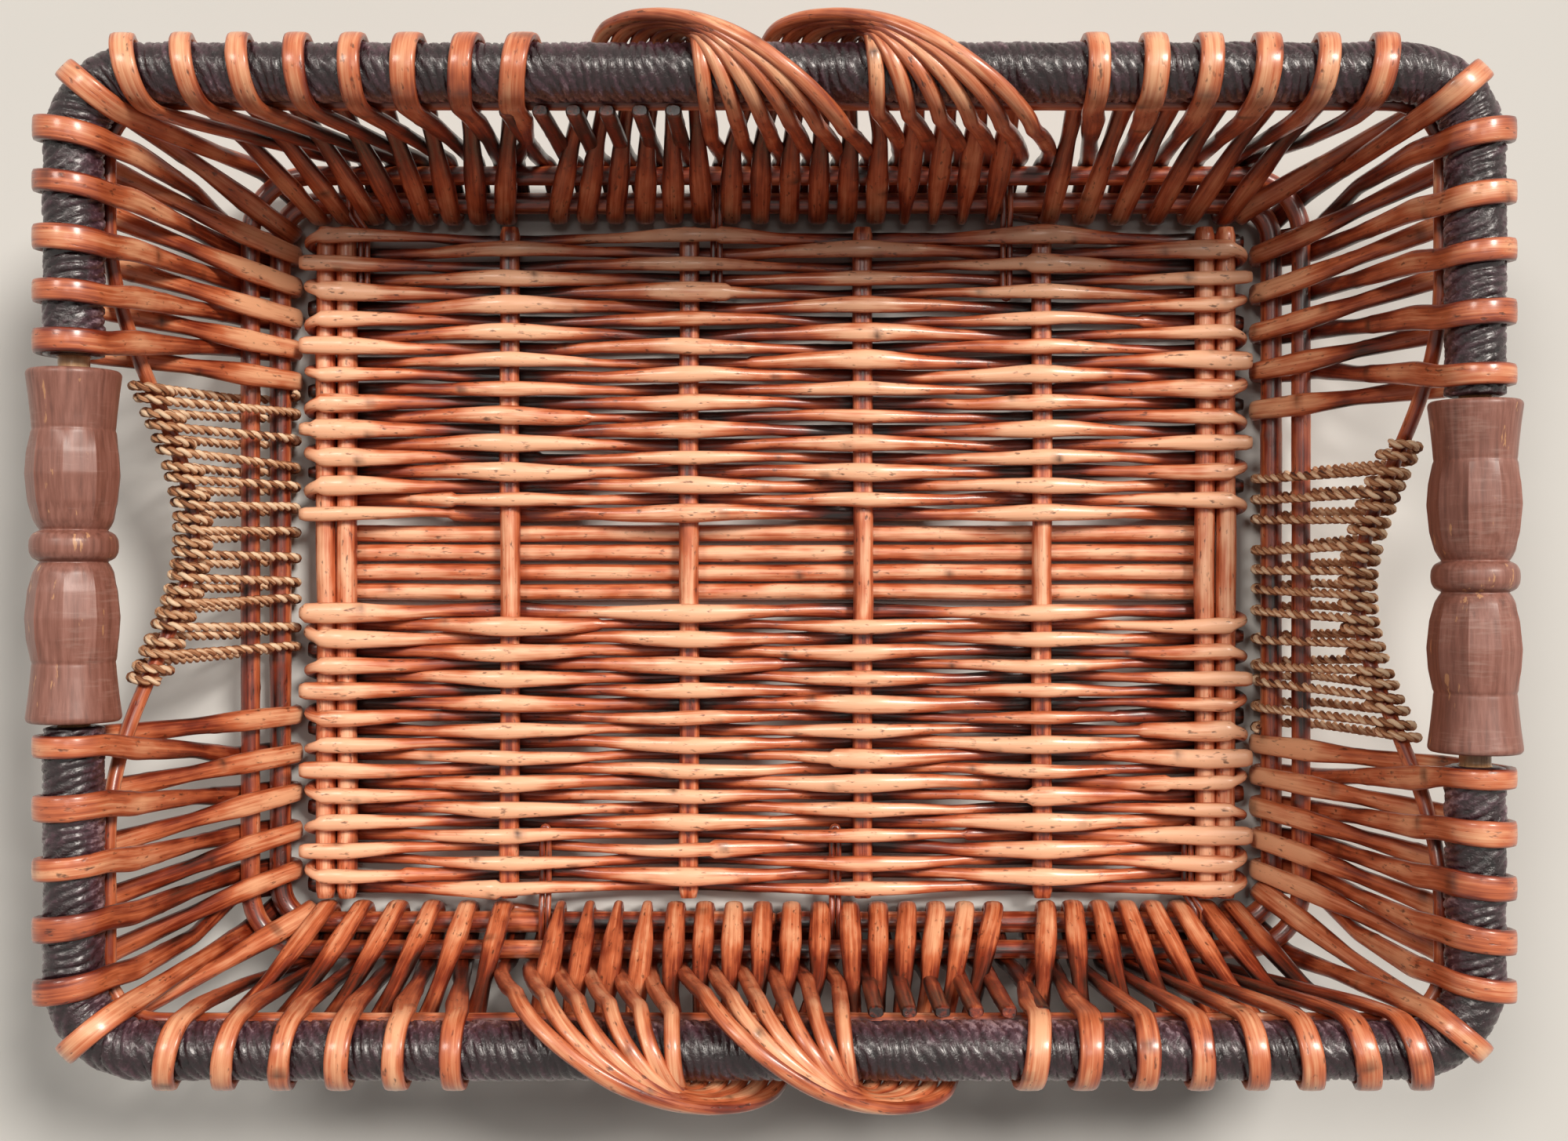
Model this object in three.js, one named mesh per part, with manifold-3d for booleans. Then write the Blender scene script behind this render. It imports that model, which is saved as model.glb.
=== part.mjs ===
// A wicker tray basket: a woven mat inside a base ring, walls of willow rods laced in a figure of eight
// between the ring and a bound rim pole, a thin hoop under the rim, two turned handles threaded on the
// pole and seagrass rope wound below them. Millimetres, +Z up, standing on z = 0, centred on the Z axis.
// The handles are at the ends of X. The basket looks the same after half a turn about Z.

import * as THREE from 'three';
import { mergeVertices } from 'three/addons/utils/BufferGeometryUtils.js';
import Module from 'manifold-3d';

const wasm = await Module();
wasm.setup();

// Driving dimensions
const CLEAR = 0.3; // gap between pieces that lie against each other

const RIM_HALF_X = 230; // centre line of the rim pole
const RIM_HALF_Y = 160.5;
const RIM_CORNER = 24;
const RIM_Z = 98;
const POLE_R = 8;
const BINDING_R = 10;
const BINDING_SETBACK = 1; // bare pole at each end of the binding
const TENON_R = 5;
const TENON_SHOW = 3.5; // bare tenon at one end of each handle

const HANDLE_LENGTH = 115;
const HANDLE_SHIFT = 5; // each handle's middle lies this far off the X axis
const HANDLE_PLAY = 0.5; // end gap of a handle
// Half of a handle's outline, as distance from the end and radius: a flare, a belly and half of the bead
const HANDLE_OUTLINE = [
  [0, 14.9],
  [7.5, 14],
  [15, 13.2],
  [19.5, 13.1],
  [27, 14.5],
  [34, 15],
  [43, 14.1],
  [49, 12.5],
  [52.4, 10.4],
  [53.4, 12.5],
  [55.4, 13.7],
];
const OUTLINE_HALF = 57.5; // half the length of the handle that the outline is drawn for

const RING_HALF_X = 189; // centre line of the inner rod of the base ring
const RING_HALF_Y = 137;
const RING_CORNER = 14;
const RING_R = 4;
const OUTER_RING_R = 3.5;
const OUTER_RING_STEP = 8; // the outer rod lies this far outside the inner one
const OUTER_RING_LIFT = 11; // and this far above it

const HOOP_R = 2.5;
const HOOP_INSET = 7; // the hoop lies this far inside the rim's centre line
const ARCH_DROP = 39.5; // dip of the hoop below each handle
const ARCH_INSET = 14.5; // and how far the dip leans in
const ARCH_EASE = 1.4; // how late it leans in
const ARCH_HALF = 105; // half the length of the dip
const ARCH_MID = 11; // its middle, along the short wall

const ROD_WIDE = 4.2; // wall rods, across their legs
const ROD_THICK = 4.4;
const LOOP_FLARE = 1.6; // the rods are this much wider where they loop over the rim
const FOOT_FLARE = 1.15;
const FOOT_FLAT = 0.2; // depth of the flat under the feet of the rods
const SCALLOP_WIDE = 3.9;
const SCALLOP_RODS = 6;
const SCALLOP_LIFT = 0.8; // each rod of a scallop stands this much prouder of the rim than the last
const SCALLOP_RISE = 16; // its legs stay upright this far above their crossing
const SWEEP_EASE = 1.3; // how late its rods sweep sideways over the rim
const OUTSIDE_PITCH = -6.2; // its rods' spacing along the outside of the rim
const LEG_LEAN = 0.4; // share of a leg's sideways lean that is below the crossing
const LAST_LEG = 0.5; // the last leg of a panel stands this share of a pitch past its foot
const LEG_SPREAD = 3; // sideways, between a corner rod's middle and each of its legs

// Places along the back wall, from left to right
const FOOT_PITCH = 11; // between the feet in the scallops and the filling legs
const PLAIN_LEFT = 8; // rods
const LEFT_LAST_FOOT = -103;
const LEFT_LAST_LOOP = -84;
const FIRST_SCALLOP_FOOT = -28;
const FIRST_SCALLOP_RIM = { outside: -27, inside: -22, insidePitch: 9 };
const SECOND_SCALLOP_RIM = { outside: 30, inside: 33.5, insidePitch: 10.3 };
const FILLERS = 4;
const RIGHT_FIRST_LOOP = 104;
const RIGHT_LOOP_SETBACK = 14; // from the straight's end to the last loop
const PLAIN_RIGHT = 6;
const CORNER_FOOT = 4; // from the straight's end to the first and last feet
const CORNER_LOOP = 1; // and to the first loop

// Places along the left wall
const SHORT_RODS = 5; // on each side of the handle
const UPPER_FOOT = 69;
const UPPER_LOOP = 71;
const LOWER_FOOT = -58;
const LOWER_LOOP = -61;
const SHORT_FOOT_SETBACK = 11; // from the straight's end to the last foot
const SHORT_LOOP_SETBACK = 4; // and to the last loop

const ROPE_R = 1.95; // half its width
const ROPE_SLACK = 1.2; // the rope's looseness on the sloping hoop
const ROPE_TURNS = 24;
const ROPE_FROM = 64; // along the short wall, from the handle side
const ROPE_TO = -41;

const STAKE_R = 3.8;
const STAKE_INNER = 33; // the two middle stakes
const STAKE_OUTER = 101; // the next two
const STICK_R = 3.2;
const STICK_PITCH = 7.5;
const STICKS = 4;
const STICK_LIFT = 1; // the centre sticks' height above the floor
const WEAVER = 4.2; // square section of a mat weaver
const MAT_MARGIN = 14; // from the ring to the last row
const MAT_MIDDLE = 18.75; // first row's distance from the middle
const BACK_LENGTHS = [3, 3, 3, 3, 3, 3, 3]; // rows in each weaver, from the middle out
const FRONT_LENGTHS = [3, 3, 3, 3, 3, 3, 4];

const TIE_R = 1.1;
const TIE_DEPTH = 23; // how far a tie goes into the mat
const TIE_REACH = 7; // how far its tips pass the inner ring
const TIE_LEAN = 0.06; // share of the legs' lean at the height of a tie

// Sides of the round sections and corners of the bends
const POLE_SIDES = 8;
const HANDLE_SIDES = 12;
const RING_SIDES = 6;
const HOOP_SIDES = 6;
const STAKE_SIDES = 8;
const TIE_SIDES = 4;
const CORNER_STEPS = 4;
const ARCH_STEPS = 20;
const LOOP_CORNERS = 4;
const SCALLOP_CORNERS = 5;
const FOOT_CORNERS = 3;
const ROPE_CORNERS = 3;

// What follows from them
const ROD_GAP = CLEAR + ROD_THICK / 2;
const RING_Z = RING_R + CLEAR + ROD_THICK - FOOT_FLAT;
const OUTER_RING_Z = RING_Z + OUTER_RING_LIFT;
const BASE_Z = STICK_LIFT + 2 * STICK_R + CLEAR + STAKE_R;
const HOOP_Z = RIM_Z - Math.sqrt((BINDING_R + HOOP_R + CLEAR) ** 2 - HOOP_INSET ** 2);
const MAT_HALF_Y = RING_HALF_Y - MAT_MARGIN;

const lerp = THREE.MathUtils.lerp;
const group = new THREE.Group();

// A rod's centre line with one section at each of its points. The section keeps its wide axis as near as it
// can to one direction, and its width follows the points' flare where they have one.
class RodPath extends THREE.Curve {
  constructor(points, wide) {
    super();
    this.points = points;
    this.wide = wide;
  }

  getUtoTmapping(u) {
    return u;
  }

  getPoint(t) {
    return this.points[Math.round(t * (this.points.length - 1))].clone();
  }

  computeFrenetFrames() {
    const frames = { tangents: [], normals: [], binormals: [] };
    this.points.forEach((point, i) => {
      const before = this.points[Math.max(i - 1, 0)];
      const after = this.points[Math.min(i + 1, this.points.length - 1)];
      const arriving = point.clone().sub(before).normalize();
      const leaving = after.clone().sub(point).normalize();
      const tangent = arriving.add(leaving).normalize();
      const normal = this.wide.clone().addScaledVector(tangent, -tangent.dot(this.wide)).normalize();
      frames.tangents.push(tangent);
      frames.binormals.push(new THREE.Vector3().crossVectors(tangent, normal));
      frames.normals.push(normal.multiplyScalar(point.flare ?? 1));
    });
    return frames;
  }
}

function polygon(radius, sides) {
  const shape = new THREE.Shape();
  for (let i = 0; i < sides; i++) {
    const angle = ((i + 0.5) / sides) * 2 * Math.PI;
    const corner = [radius * Math.cos(angle), radius * Math.sin(angle)];
    if (i === 0) shape.moveTo(...corner);
    else shape.lineTo(...corner);
  }
  return shape;
}

function rectangle(wide, thick) {
  return new THREE.Shape([
    new THREE.Vector2(-wide / 2, -thick / 2),
    new THREE.Vector2(wide / 2, -thick / 2),
    new THREE.Vector2(wide / 2, thick / 2),
    new THREE.Vector2(-wide / 2, thick / 2),
  ]);
}

function rod(points, wide, section) {
  const extrudePath = new RodPath(points, wide);
  return new THREE.ExtrudeGeometry(section, { steps: points.length - 1, bevelEnabled: false, extrudePath });
}

// Joining and cutting closed shapes
function toSolid(geometry) {
  const bare = geometry.clone();
  bare.deleteAttribute('normal');
  bare.deleteAttribute('uv');
  const merged = mergeVertices(bare);
  const vertProperties = new Float32Array(merged.attributes.position.array);
  const triVerts = new Uint32Array(merged.index.array);
  return new wasm.Manifold(new wasm.Mesh({ numProp: 3, vertProperties, triVerts }));
}

function toGeometry(solid) {
  const mesh = solid.getMesh();
  const geometry = new THREE.BufferGeometry();
  geometry.setAttribute('position', new THREE.BufferAttribute(mesh.vertProperties, 3));
  geometry.setIndex(new THREE.BufferAttribute(mesh.triVerts, 1));
  geometry.computeVertexNormals();
  return geometry;
}

// Finishes
const RATTAN = { color: 0xc9a27a, roughness: 0.6, metalness: 0 };
const RUSH = { color: 0x2e2426, roughness: 0.5, metalness: 0 };
const TURNED = { color: 0x6d4c41, roughness: 0.5, metalness: 0 };
const WILLOW = { color: 0xb9733f, roughness: 0.45, metalness: 0 };
const DARK_WILLOW = { color: 0x8a3d18, roughness: 0.45, metalness: 0 };
const SEAGRASS = { color: 0xa07a45, roughness: 0.85, metalness: 0 };

function add(name, geometry, finish, turn = 0) {
  const mesh = new THREE.Mesh(geometry, new THREE.MeshStandardMaterial(finish));
  mesh.name = name;
  mesh.rotation.z = turn;
  group.add(mesh);
}

// The basket's halves are alike, so a piece and its partner share a shape, half a turn apart.
function addTwo(name, partner, geometry, finish) {
  add(name, geometry, finish);
  add(partner, geometry, finish, Math.PI);
}

// A quarter round corner, from one heading to the next, for the rim, ring and hoop.
function corner(x, y, radius, from, steps, z) {
  const points = [];
  for (let i = 0; i <= steps; i++) {
    const angle = from - (i / steps) * (Math.PI / 2);
    points.push(new THREE.Vector3(x + radius * Math.cos(angle), y + radius * Math.sin(angle), z));
  }
  return points;
}

const UP = new THREE.Vector3(0, 0, 1);

// Rim pole: each half runs from one handle round the back to the other, and a tenon at each end meets the
// other half's tenon in the middle of a handle.
const shoulderLeft = HANDLE_SHIFT + HANDLE_LENGTH / 2 + TENON_SHOW;
const shoulderRight = -HANDLE_SHIFT + HANDLE_LENGTH / 2 + HANDLE_PLAY;

function rimHalf(left, right) {
  const x = RIM_HALF_X - RIM_CORNER;
  const y = RIM_HALF_Y - RIM_CORNER;
  return [
    new THREE.Vector3(-RIM_HALF_X, left, RIM_Z),
    ...corner(-x, y, RIM_CORNER, Math.PI, CORNER_STEPS, RIM_Z),
    ...corner(x, y, RIM_CORNER, Math.PI / 2, CORNER_STEPS, RIM_Z),
    new THREE.Vector3(RIM_HALF_X, right, RIM_Z),
  ];
}

function tenon(x, from, to) {
  const ends = [new THREE.Vector3(x, from, RIM_Z), new THREE.Vector3(x, to, RIM_Z)];
  return toSolid(rod(ends, UP, polygon(TENON_R, POLE_SIDES)));
}

const pole = toSolid(rod(rimHalf(shoulderLeft, shoulderRight), UP, polygon(POLE_R, POLE_SIDES)))
  .add(tenon(-RIM_HALF_X, HANDLE_SHIFT + CLEAR / 2, shoulderLeft + POLE_R))
  .add(tenon(RIM_HALF_X, -HANDLE_SHIFT + CLEAR / 2, shoulderRight + POLE_R));
addTwo('rim_pole_back', 'rim_pole_front', toGeometry(pole), RATTAN);

const bindingSection = polygon(BINDING_R, POLE_SIDES);
bindingSection.holes.push(polygon(POLE_R + CLEAR, POLE_SIDES));
const bindingPath = rimHalf(shoulderLeft + BINDING_SETBACK, shoulderRight + BINDING_SETBACK);
addTwo('rim_binding_back', 'rim_binding_front', rod(bindingPath, UP, bindingSection), RUSH);

// Handles: turned, with a flare at each end, two bellies and a bead in the middle.
const handleHalf = HANDLE_LENGTH / 2;
const outlineScale = handleHalf / OUTLINE_HALF;
const handleProfile = [
  ...HANDLE_OUTLINE.map(([along, radius]) => [radius, along * outlineScale - handleHalf]),
  ...HANDLE_OUTLINE.toReversed().map(([along, radius]) => [radius, handleHalf - along * outlineScale]),
  [TENON_R + CLEAR, handleHalf],
  [TENON_R + CLEAR, -handleHalf],
  [HANDLE_OUTLINE[0][1], -handleHalf],
].map(([radius, along]) => new THREE.Vector2(radius, along));
const handle = new THREE.LatheGeometry(handleProfile, HANDLE_SIDES);
handle.translate(-RIM_HALF_X, HANDLE_SHIFT, RIM_Z);
addTwo('left_handle', 'right_handle', handle, TURNED);

// Base ring: each rod is bent round to its own end, in the middle of the front.
function ring(step, z, radius) {
  const x = RING_HALF_X - RING_CORNER;
  const y = RING_HALF_Y - RING_CORNER;
  const bend = RING_CORNER + step;
  const joint = CLEAR / 2;
  const path = [
    new THREE.Vector3(-joint, -y - bend, z),
    ...corner(-x, -y, bend, -Math.PI / 2, CORNER_STEPS, z),
    ...corner(-x, y, bend, Math.PI, CORNER_STEPS, z),
    ...corner(x, y, bend, Math.PI / 2, CORNER_STEPS, z),
    ...corner(x, -y, bend, 0, CORNER_STEPS, z),
    new THREE.Vector3(joint, -y - bend, z),
  ];
  return rod(path, UP, polygon(radius, RING_SIDES));
}

add('base_ring_inner', ring(0, RING_Z, RING_R), WILLOW);
add('base_ring_outer', ring(OUTER_RING_STEP, OUTER_RING_Z, OUTER_RING_R), WILLOW);

// Hoop under the rim: on the short walls it dips below the handle as a smooth arch.
function archAt(along) {
  const share = Math.min(Math.abs(along - ARCH_MID) / ARCH_HALF, 1);
  const dip = Math.cos((share * Math.PI) / 2) ** 2;
  return { n: RIM_HALF_X - HOOP_INSET - ARCH_INSET * dip ** ARCH_EASE, z: HOOP_Z - ARCH_DROP * dip };
}

function archPoints(side) {
  const points = [];
  for (let i = 0; i <= ARCH_STEPS; i++) {
    const along = ARCH_MID + lerp(-ARCH_HALF, ARCH_HALF, i / ARCH_STEPS);
    const { n, z } = archAt(along);
    points.push(new THREE.Vector3(side * n, -side * along, z));
  }
  return points;
}

function hoop() {
  const bend = RIM_CORNER - HOOP_INSET;
  const x = RIM_HALF_X - RIM_CORNER;
  const y = RIM_HALF_Y - RIM_CORNER;
  const joint = CLEAR / 2;
  return [
    new THREE.Vector3(-joint, -y - bend, HOOP_Z),
    ...corner(-x, -y, bend, -Math.PI / 2, CORNER_STEPS, HOOP_Z),
    ...archPoints(-1),
    ...corner(-x, y, bend, Math.PI, CORNER_STEPS, HOOP_Z),
    ...corner(x, y, bend, Math.PI / 2, CORNER_STEPS, HOOP_Z),
    ...archPoints(1),
    ...corner(x, -y, bend, 0, CORNER_STEPS, HOOP_Z),
    new THREE.Vector3(joint, -y - bend, HOOP_Z),
  ];
}

add('under_rim_hoop', rod(hoop(), UP, polygon(HOOP_R, HOOP_SIDES)), WILLOW);

// Rods pulled tight round other rods that are seen end on: n is the distance out from the basket's middle,
// and turn is +1 where the rod passes anticlockwise round a circle and -1 where it passes clockwise.
function heading(a, b) {
  const reach = Math.hypot(b.n - a.n, b.z - a.z);
  const line = Math.atan2(b.z - a.z, b.n - a.n);
  return line - Math.asin((b.turn * b.r - a.turn * a.r) / reach);
}

// Corners of the run round one circle, on lines that touch it.
function wrap(circle, arriving, leaving, corners) {
  const full = 2 * Math.PI;
  const sweep = (((leaving - arriving) * circle.turn) % full + full) % full;
  const step = (sweep * circle.turn) / corners;
  const radius = circle.r / Math.cos(step / 2);
  return Array.from({ length: corners }, (_, i) => {
    const angle = arriving - (circle.turn * Math.PI) / 2 + step * (i + 0.5);
    return { n: circle.n + radius * Math.cos(angle), z: circle.z + radius * Math.sin(angle) };
  });
}

// Where two straight runs cross, as a height.
function crossing(p, headingP, q, headingQ) {
  const leanP = 1 / Math.tan(headingP);
  const leanQ = 1 / Math.tan(headingQ);
  return (q.n - p.n + p.z * leanP - q.z * leanQ) / (leanP - leanQ);
}

function between(p, q, z) {
  return { n: lerp(p.n, q.n, (z - p.z) / (q.z - p.z)), z };
}

// A wall's own directions: along it and out of it, with the distances of the ring and the rim.
function wall(along, out, ringOut, rimOut) {
  return { along: new THREE.Vector3(...along, 0), out: new THREE.Vector3(...out, 0), ringOut, rimOut };
}

const BACK = wall([1, 0], [0, 1], RING_HALF_Y, RIM_HALF_Y);
const LEFT = wall([0, 1], [-1, 0], RING_HALF_X, RIM_HALF_X);

function place(side, u, { n, z }, flare) {
  const point = side.along.clone().multiplyScalar(u).addScaledVector(side.out, n);
  point.z = z;
  point.flare = flare;
  return point;
}

// The run of one wall rod, seen along the wall: up from inside the ring to outside the rim, over the rim and
// down from inside the rim to outside the ring.
function figureOfEight(side, lift, loopCorners, rise = 0) {
  const inner = { n: side.ringOut, z: RING_Z, r: RING_R + ROD_GAP, turn: -1 };
  const rim = { n: side.rimOut, z: RIM_Z, r: BINDING_R + ROD_GAP + lift, turn: 1 };
  const outer = { n: side.ringOut + OUTER_RING_STEP, z: OUTER_RING_Z, r: OUTER_RING_R + ROD_GAP, turn: -1 };
  const up = heading(inner, rim);
  const down = heading(rim, outer);
  const under = heading(outer, inner);
  const loop = wrap(rim, up, down, loopCorners);
  const shoulder = wrap(outer, down, under, 1);
  const foot = wrap(inner, under, up, FOOT_CORNERS);
  const last = loopCorners - 1;
  const top = FOOT_CORNERS - 1;
  const z = crossing(foot[top], up, loop[last], down) + rise;
  const butt = { n: side.ringOut, z: (foot[0].z + foot[1].z) / 2 };
  return {
    loop,
    shoulder: shoulder[0],
    foot,
    butt,
    rising: between(foot[top], loop[0], z),
    falling: between(loop[last], shoulder[0], z),
  };
}

function buttEnd(run, shift) {
  return { n: run.butt.n + shift, z: run.butt.z };
}

// The rod's parts, as points: u is the place along the wall.
function footUp(side, run, u, flare = FOOT_FLARE) {
  return run.foot.slice(1).map((spot) => place(side, u, spot, flare));
}

function footDown(side, run, u) {
  return [place(side, u, run.shoulder, 1), place(side, u, run.foot[0], FOOT_FLARE)];
}

function loopOver(side, run, from, to, flare, ease = 1) {
  const last = run.loop.length - 1;
  return run.loop.map((spot, i) => {
    const share = Math.sin(((i / last) * Math.PI) / 2) ** ease;
    return place(side, lerp(from, to, share), spot, flare);
  });
}

const flatFloor = new THREE.BoxGeometry(4 * RIM_HALF_X, 4 * RIM_HALF_Y, RING_Z);
flatFloor.translate(0, 0, -RING_Z / 2);
const floor = toSolid(flatFloor);

function laced(points, side, wide) {
  return toSolid(rod(points, side.along, rectangle(wide, ROD_THICK)));
}

// A plain panel is one long rod: its feet and loops are evenly spaced between the first and the last.
function plainPoints(side, feet, loops, count) {
  const run = figureOfEight(side, 0, LOOP_CORNERS);
  const pitch = (feet[1] - feet[0]) / (count - 1);
  const footAt = (i) => feet[0] + pitch * i;
  const loopAt = (i) => lerp(loops[0], loops[1], i / (count - 1));
  const legAt = (i) => lerp(footAt(i), loopAt(i), LEG_LEAN);
  const points = [];
  for (let i = 0; i < count; i++) {
    const isLast = i === count - 1;
    const nextFoot = isLast ? footAt(i) + pitch * LAST_LEG : footAt(i + 1);
    points.push(
      ...footUp(side, run, footAt(i)),
      place(side, legAt(i), run.rising, 1),
      ...loopOver(side, run, loopAt(i), loopAt(i), LOOP_FLARE),
      place(side, legAt(i + 0.5), run.falling, 1),
      ...footDown(side, run, nextFoot),
    );
  }
  const start = place(side, footAt(0), buttEnd(run, -CLEAR), FOOT_FLARE);
  const end = place(side, footAt(count - 1) + pitch * LAST_LEG, buttEnd(run, CLEAR), FOOT_FLARE);
  return { start, points, end };
}

function plainPanel(side, feet, loops, count) {
  const { start, points, end } = plainPoints(side, feet, loops, count);
  return laced([start, ...points, end], side, ROD_WIDE).subtract(floor);
}

// Long walls, from left to right along the back: a plain panel, two scallops, filling legs and a plain panel.
const ringStraight = RING_HALF_X - RING_CORNER;
const rimStraight = RIM_HALF_X - RIM_CORNER;
const leftFeet = [-ringStraight + CORNER_FOOT, LEFT_LAST_FOOT];
const leftLoops = [-rimStraight + CORNER_LOOP, LEFT_LAST_LOOP];
addTwo(
  'back_left_lacing',
  'front_right_lacing',
  toGeometry(plainPanel(BACK, leftFeet, leftLoops, PLAIN_LEFT)),
  WILLOW,
);

// Scallops: the rods' feet, crossings and places on both sides of the rim are evenly spaced. The rods fan out
// in nested arcs, and each one stands a little prouder than the last.
function scallop(firstFoot, { outside, inside, insidePitch }) {
  let solid = null;
  for (let i = 0; i < SCALLOP_RODS; i++) {
    const run = figureOfEight(BACK, SCALLOP_LIFT * i, SCALLOP_CORNERS, SCALLOP_RISE);
    const foot = firstFoot - FOOT_PITCH * i;
    const outsideAt = outside + OUTSIDE_PITCH * i;
    const insideAt = inside + insidePitch * i;
    const backFoot = firstFoot + FOOT_PITCH * (i + 0.5);
    const points = [
      place(BACK, foot, buttEnd(run, -CLEAR), 1),
      ...footUp(BACK, run, foot),
      place(BACK, foot, run.rising, 1),
      ...loopOver(BACK, run, outsideAt, insideAt, FOOT_FLARE, SWEEP_EASE),
      place(BACK, backFoot, run.falling, 1),
      ...footDown(BACK, run, backFoot),
      place(BACK, backFoot, buttEnd(run, CLEAR), 1),
    ];
    const next = laced(points, BACK, SCALLOP_WIDE);
    solid = solid ? solid.add(next) : next;
  }
  return toGeometry(solid.subtract(floor));
}

const secondScallopFoot = FIRST_SCALLOP_FOOT + SCALLOP_RODS * FOOT_PITCH;
const firstScallop = scallop(FIRST_SCALLOP_FOOT, FIRST_SCALLOP_RIM);
const secondScallop = scallop(secondScallopFoot, SECOND_SCALLOP_RIM);
addTwo('back_left_scallop', 'front_right_scallop', firstScallop, WILLOW);
addTwo('back_right_scallop', 'front_left_scallop', secondScallop, WILLOW);

// Filling legs climb to the outside of the rim, turn there and come down again. They carry on into the plain
// panel at the right.
function fillers(side, firstFoot) {
  const run = figureOfEight(side, 0, LOOP_CORNERS);
  const points = [];
  for (let i = 0; i < FILLERS; i++) {
    const foot = firstFoot + FOOT_PITCH * i;
    const leg = [
      place(side, foot, buttEnd(run, -ROD_THICK / 2 - CLEAR), FOOT_FLARE),
      ...footUp(side, run, foot),
      place(side, foot, run.loop[0], 1),
    ];
    points.push(...(i % 2 ? leg.reverse() : leg));
  }
  return points;
}

const firstFiller = secondScallopFoot + FOOT_PITCH;
const rightFeet = [firstFiller + FOOT_PITCH * (FILLERS + 1), ringStraight - 2 * CORNER_FOOT];
const rightLoops = [RIGHT_FIRST_LOOP, rimStraight - RIGHT_LOOP_SETBACK];
const rightPanel = plainPoints(BACK, rightFeet, rightLoops, PLAIN_RIGHT);
const rightPath = [...fillers(BACK, firstFiller), ...rightPanel.points, rightPanel.end];
addTwo(
  'back_right_lacing',
  'front_left_lacing',
  toGeometry(laced(rightPath, BACK, ROD_WIDE).subtract(floor)),
  WILLOW,
);

// Short walls: a plain panel on each side of the handle.
const lastShortFoot = RING_HALF_Y - RING_CORNER - SHORT_FOOT_SETBACK;
const lastShortLoop = RIM_HALF_Y - RIM_CORNER - SHORT_LOOP_SETBACK;
const upperPanel = plainPanel(LEFT, [UPPER_FOOT, lastShortFoot], [UPPER_LOOP, lastShortLoop], SHORT_RODS);
const lowerPanel = plainPanel(LEFT, [LOWER_FOOT, -lastShortFoot], [LOWER_LOOP, -lastShortLoop], SHORT_RODS);
addTwo('left_back_lacing', 'right_front_lacing', toGeometry(upperPanel), WILLOW);
addTwo('left_front_lacing', 'right_back_lacing', toGeometry(lowerPanel), WILLOW);

// Corners: one rod on the diagonal, whose legs pass each other side by side.
const DIAGONAL = Math.SQRT1_2;

function cornerRod(hand) {
  const ringX = RING_HALF_X - RING_CORNER;
  const ringY = RING_HALF_Y - RING_CORNER;
  const rimX = RIM_HALF_X - RIM_CORNER;
  const rimY = RIM_HALF_Y - RIM_CORNER;
  const ringOut = (ringX + ringY) * DIAGONAL + RING_CORNER;
  const rimOut = (rimX + rimY) * DIAGONAL + RIM_CORNER;
  const side = wall([DIAGONAL, -hand * DIAGONAL], [hand * DIAGONAL, DIAGONAL], ringOut, rimOut);
  const ringAlong = hand * (ringX - ringY) * DIAGONAL;
  const rimAlong = hand * (rimX - rimY) * DIAGONAL;
  const run = figureOfEight(side, 0, LOOP_CORNERS);
  const leg = lerp(ringAlong, rimAlong, LEG_LEAN);
  const points = [
    place(side, ringAlong, buttEnd(run, -CLEAR), 1),
    ...footUp(side, run, ringAlong, 1),
    place(side, leg - LEG_SPREAD, run.rising, 1),
    ...loopOver(side, run, rimAlong, rimAlong, 1),
    place(side, leg + LEG_SPREAD, run.falling, 1),
    ...footDown(side, run, ringAlong + LEG_SPREAD),
    place(side, ringAlong + LEG_SPREAD, buttEnd(run, CLEAR), FOOT_FLARE),
  ];
  return toGeometry(laced(points, side, ROD_WIDE).subtract(floor));
}

addTwo('back_left_corner_rod', 'front_right_corner_rod', cornerRod(-1), WILLOW);
addTwo('back_right_corner_rod', 'front_left_corner_rod', cornerRod(1), WILLOW);

// Seagrass rope: one tube wound round the inner ring, the outer ring and the dip of the hoop.
function ropeLoop(along) {
  const reach = ROPE_R + CLEAR;
  const arch = archAt(along);
  const beside = archAt(along + 1);
  const steep = Math.hypot(1, beside.z - arch.z);
  const inner = { n: RING_HALF_X, z: RING_Z, r: RING_R + reach, turn: 1 };
  const outer = {
    n: RING_HALF_X + OUTER_RING_STEP,
    z: OUTER_RING_Z,
    r: OUTER_RING_R + reach,
    turn: 1,
  };
  const top = { ...arch, r: HOOP_R * steep + reach + ROPE_SLACK, turn: 1 };
  const toOuter = heading(inner, outer);
  const toTop = heading(outer, top);
  const toInner = heading(top, inner);
  return [
    ...wrap(inner, toInner, toOuter, ROPE_CORNERS),
    ...wrap(outer, toOuter, toTop, 1),
    ...wrap(top, toTop, toInner, ROPE_CORNERS),
  ];
}

function ropePoints() {
  const points = [];
  const pitch = (ROPE_TO - ROPE_FROM) / ROPE_TURNS;
  for (let i = 0; i < ROPE_TURNS; i++) {
    const along = ROPE_FROM + pitch * (i + 0.5);
    const spots = ropeLoop(along);
    spots.forEach((spot, k) => {
      points.push(place(LEFT, along + pitch * (k / spots.length - 0.5), spot, 1));
    });
  }
  return points;
}

// Least gap between one turn of the rope and the next, measured on points along their straight runs.
const GAP_SAMPLES = 8; // on each run

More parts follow.
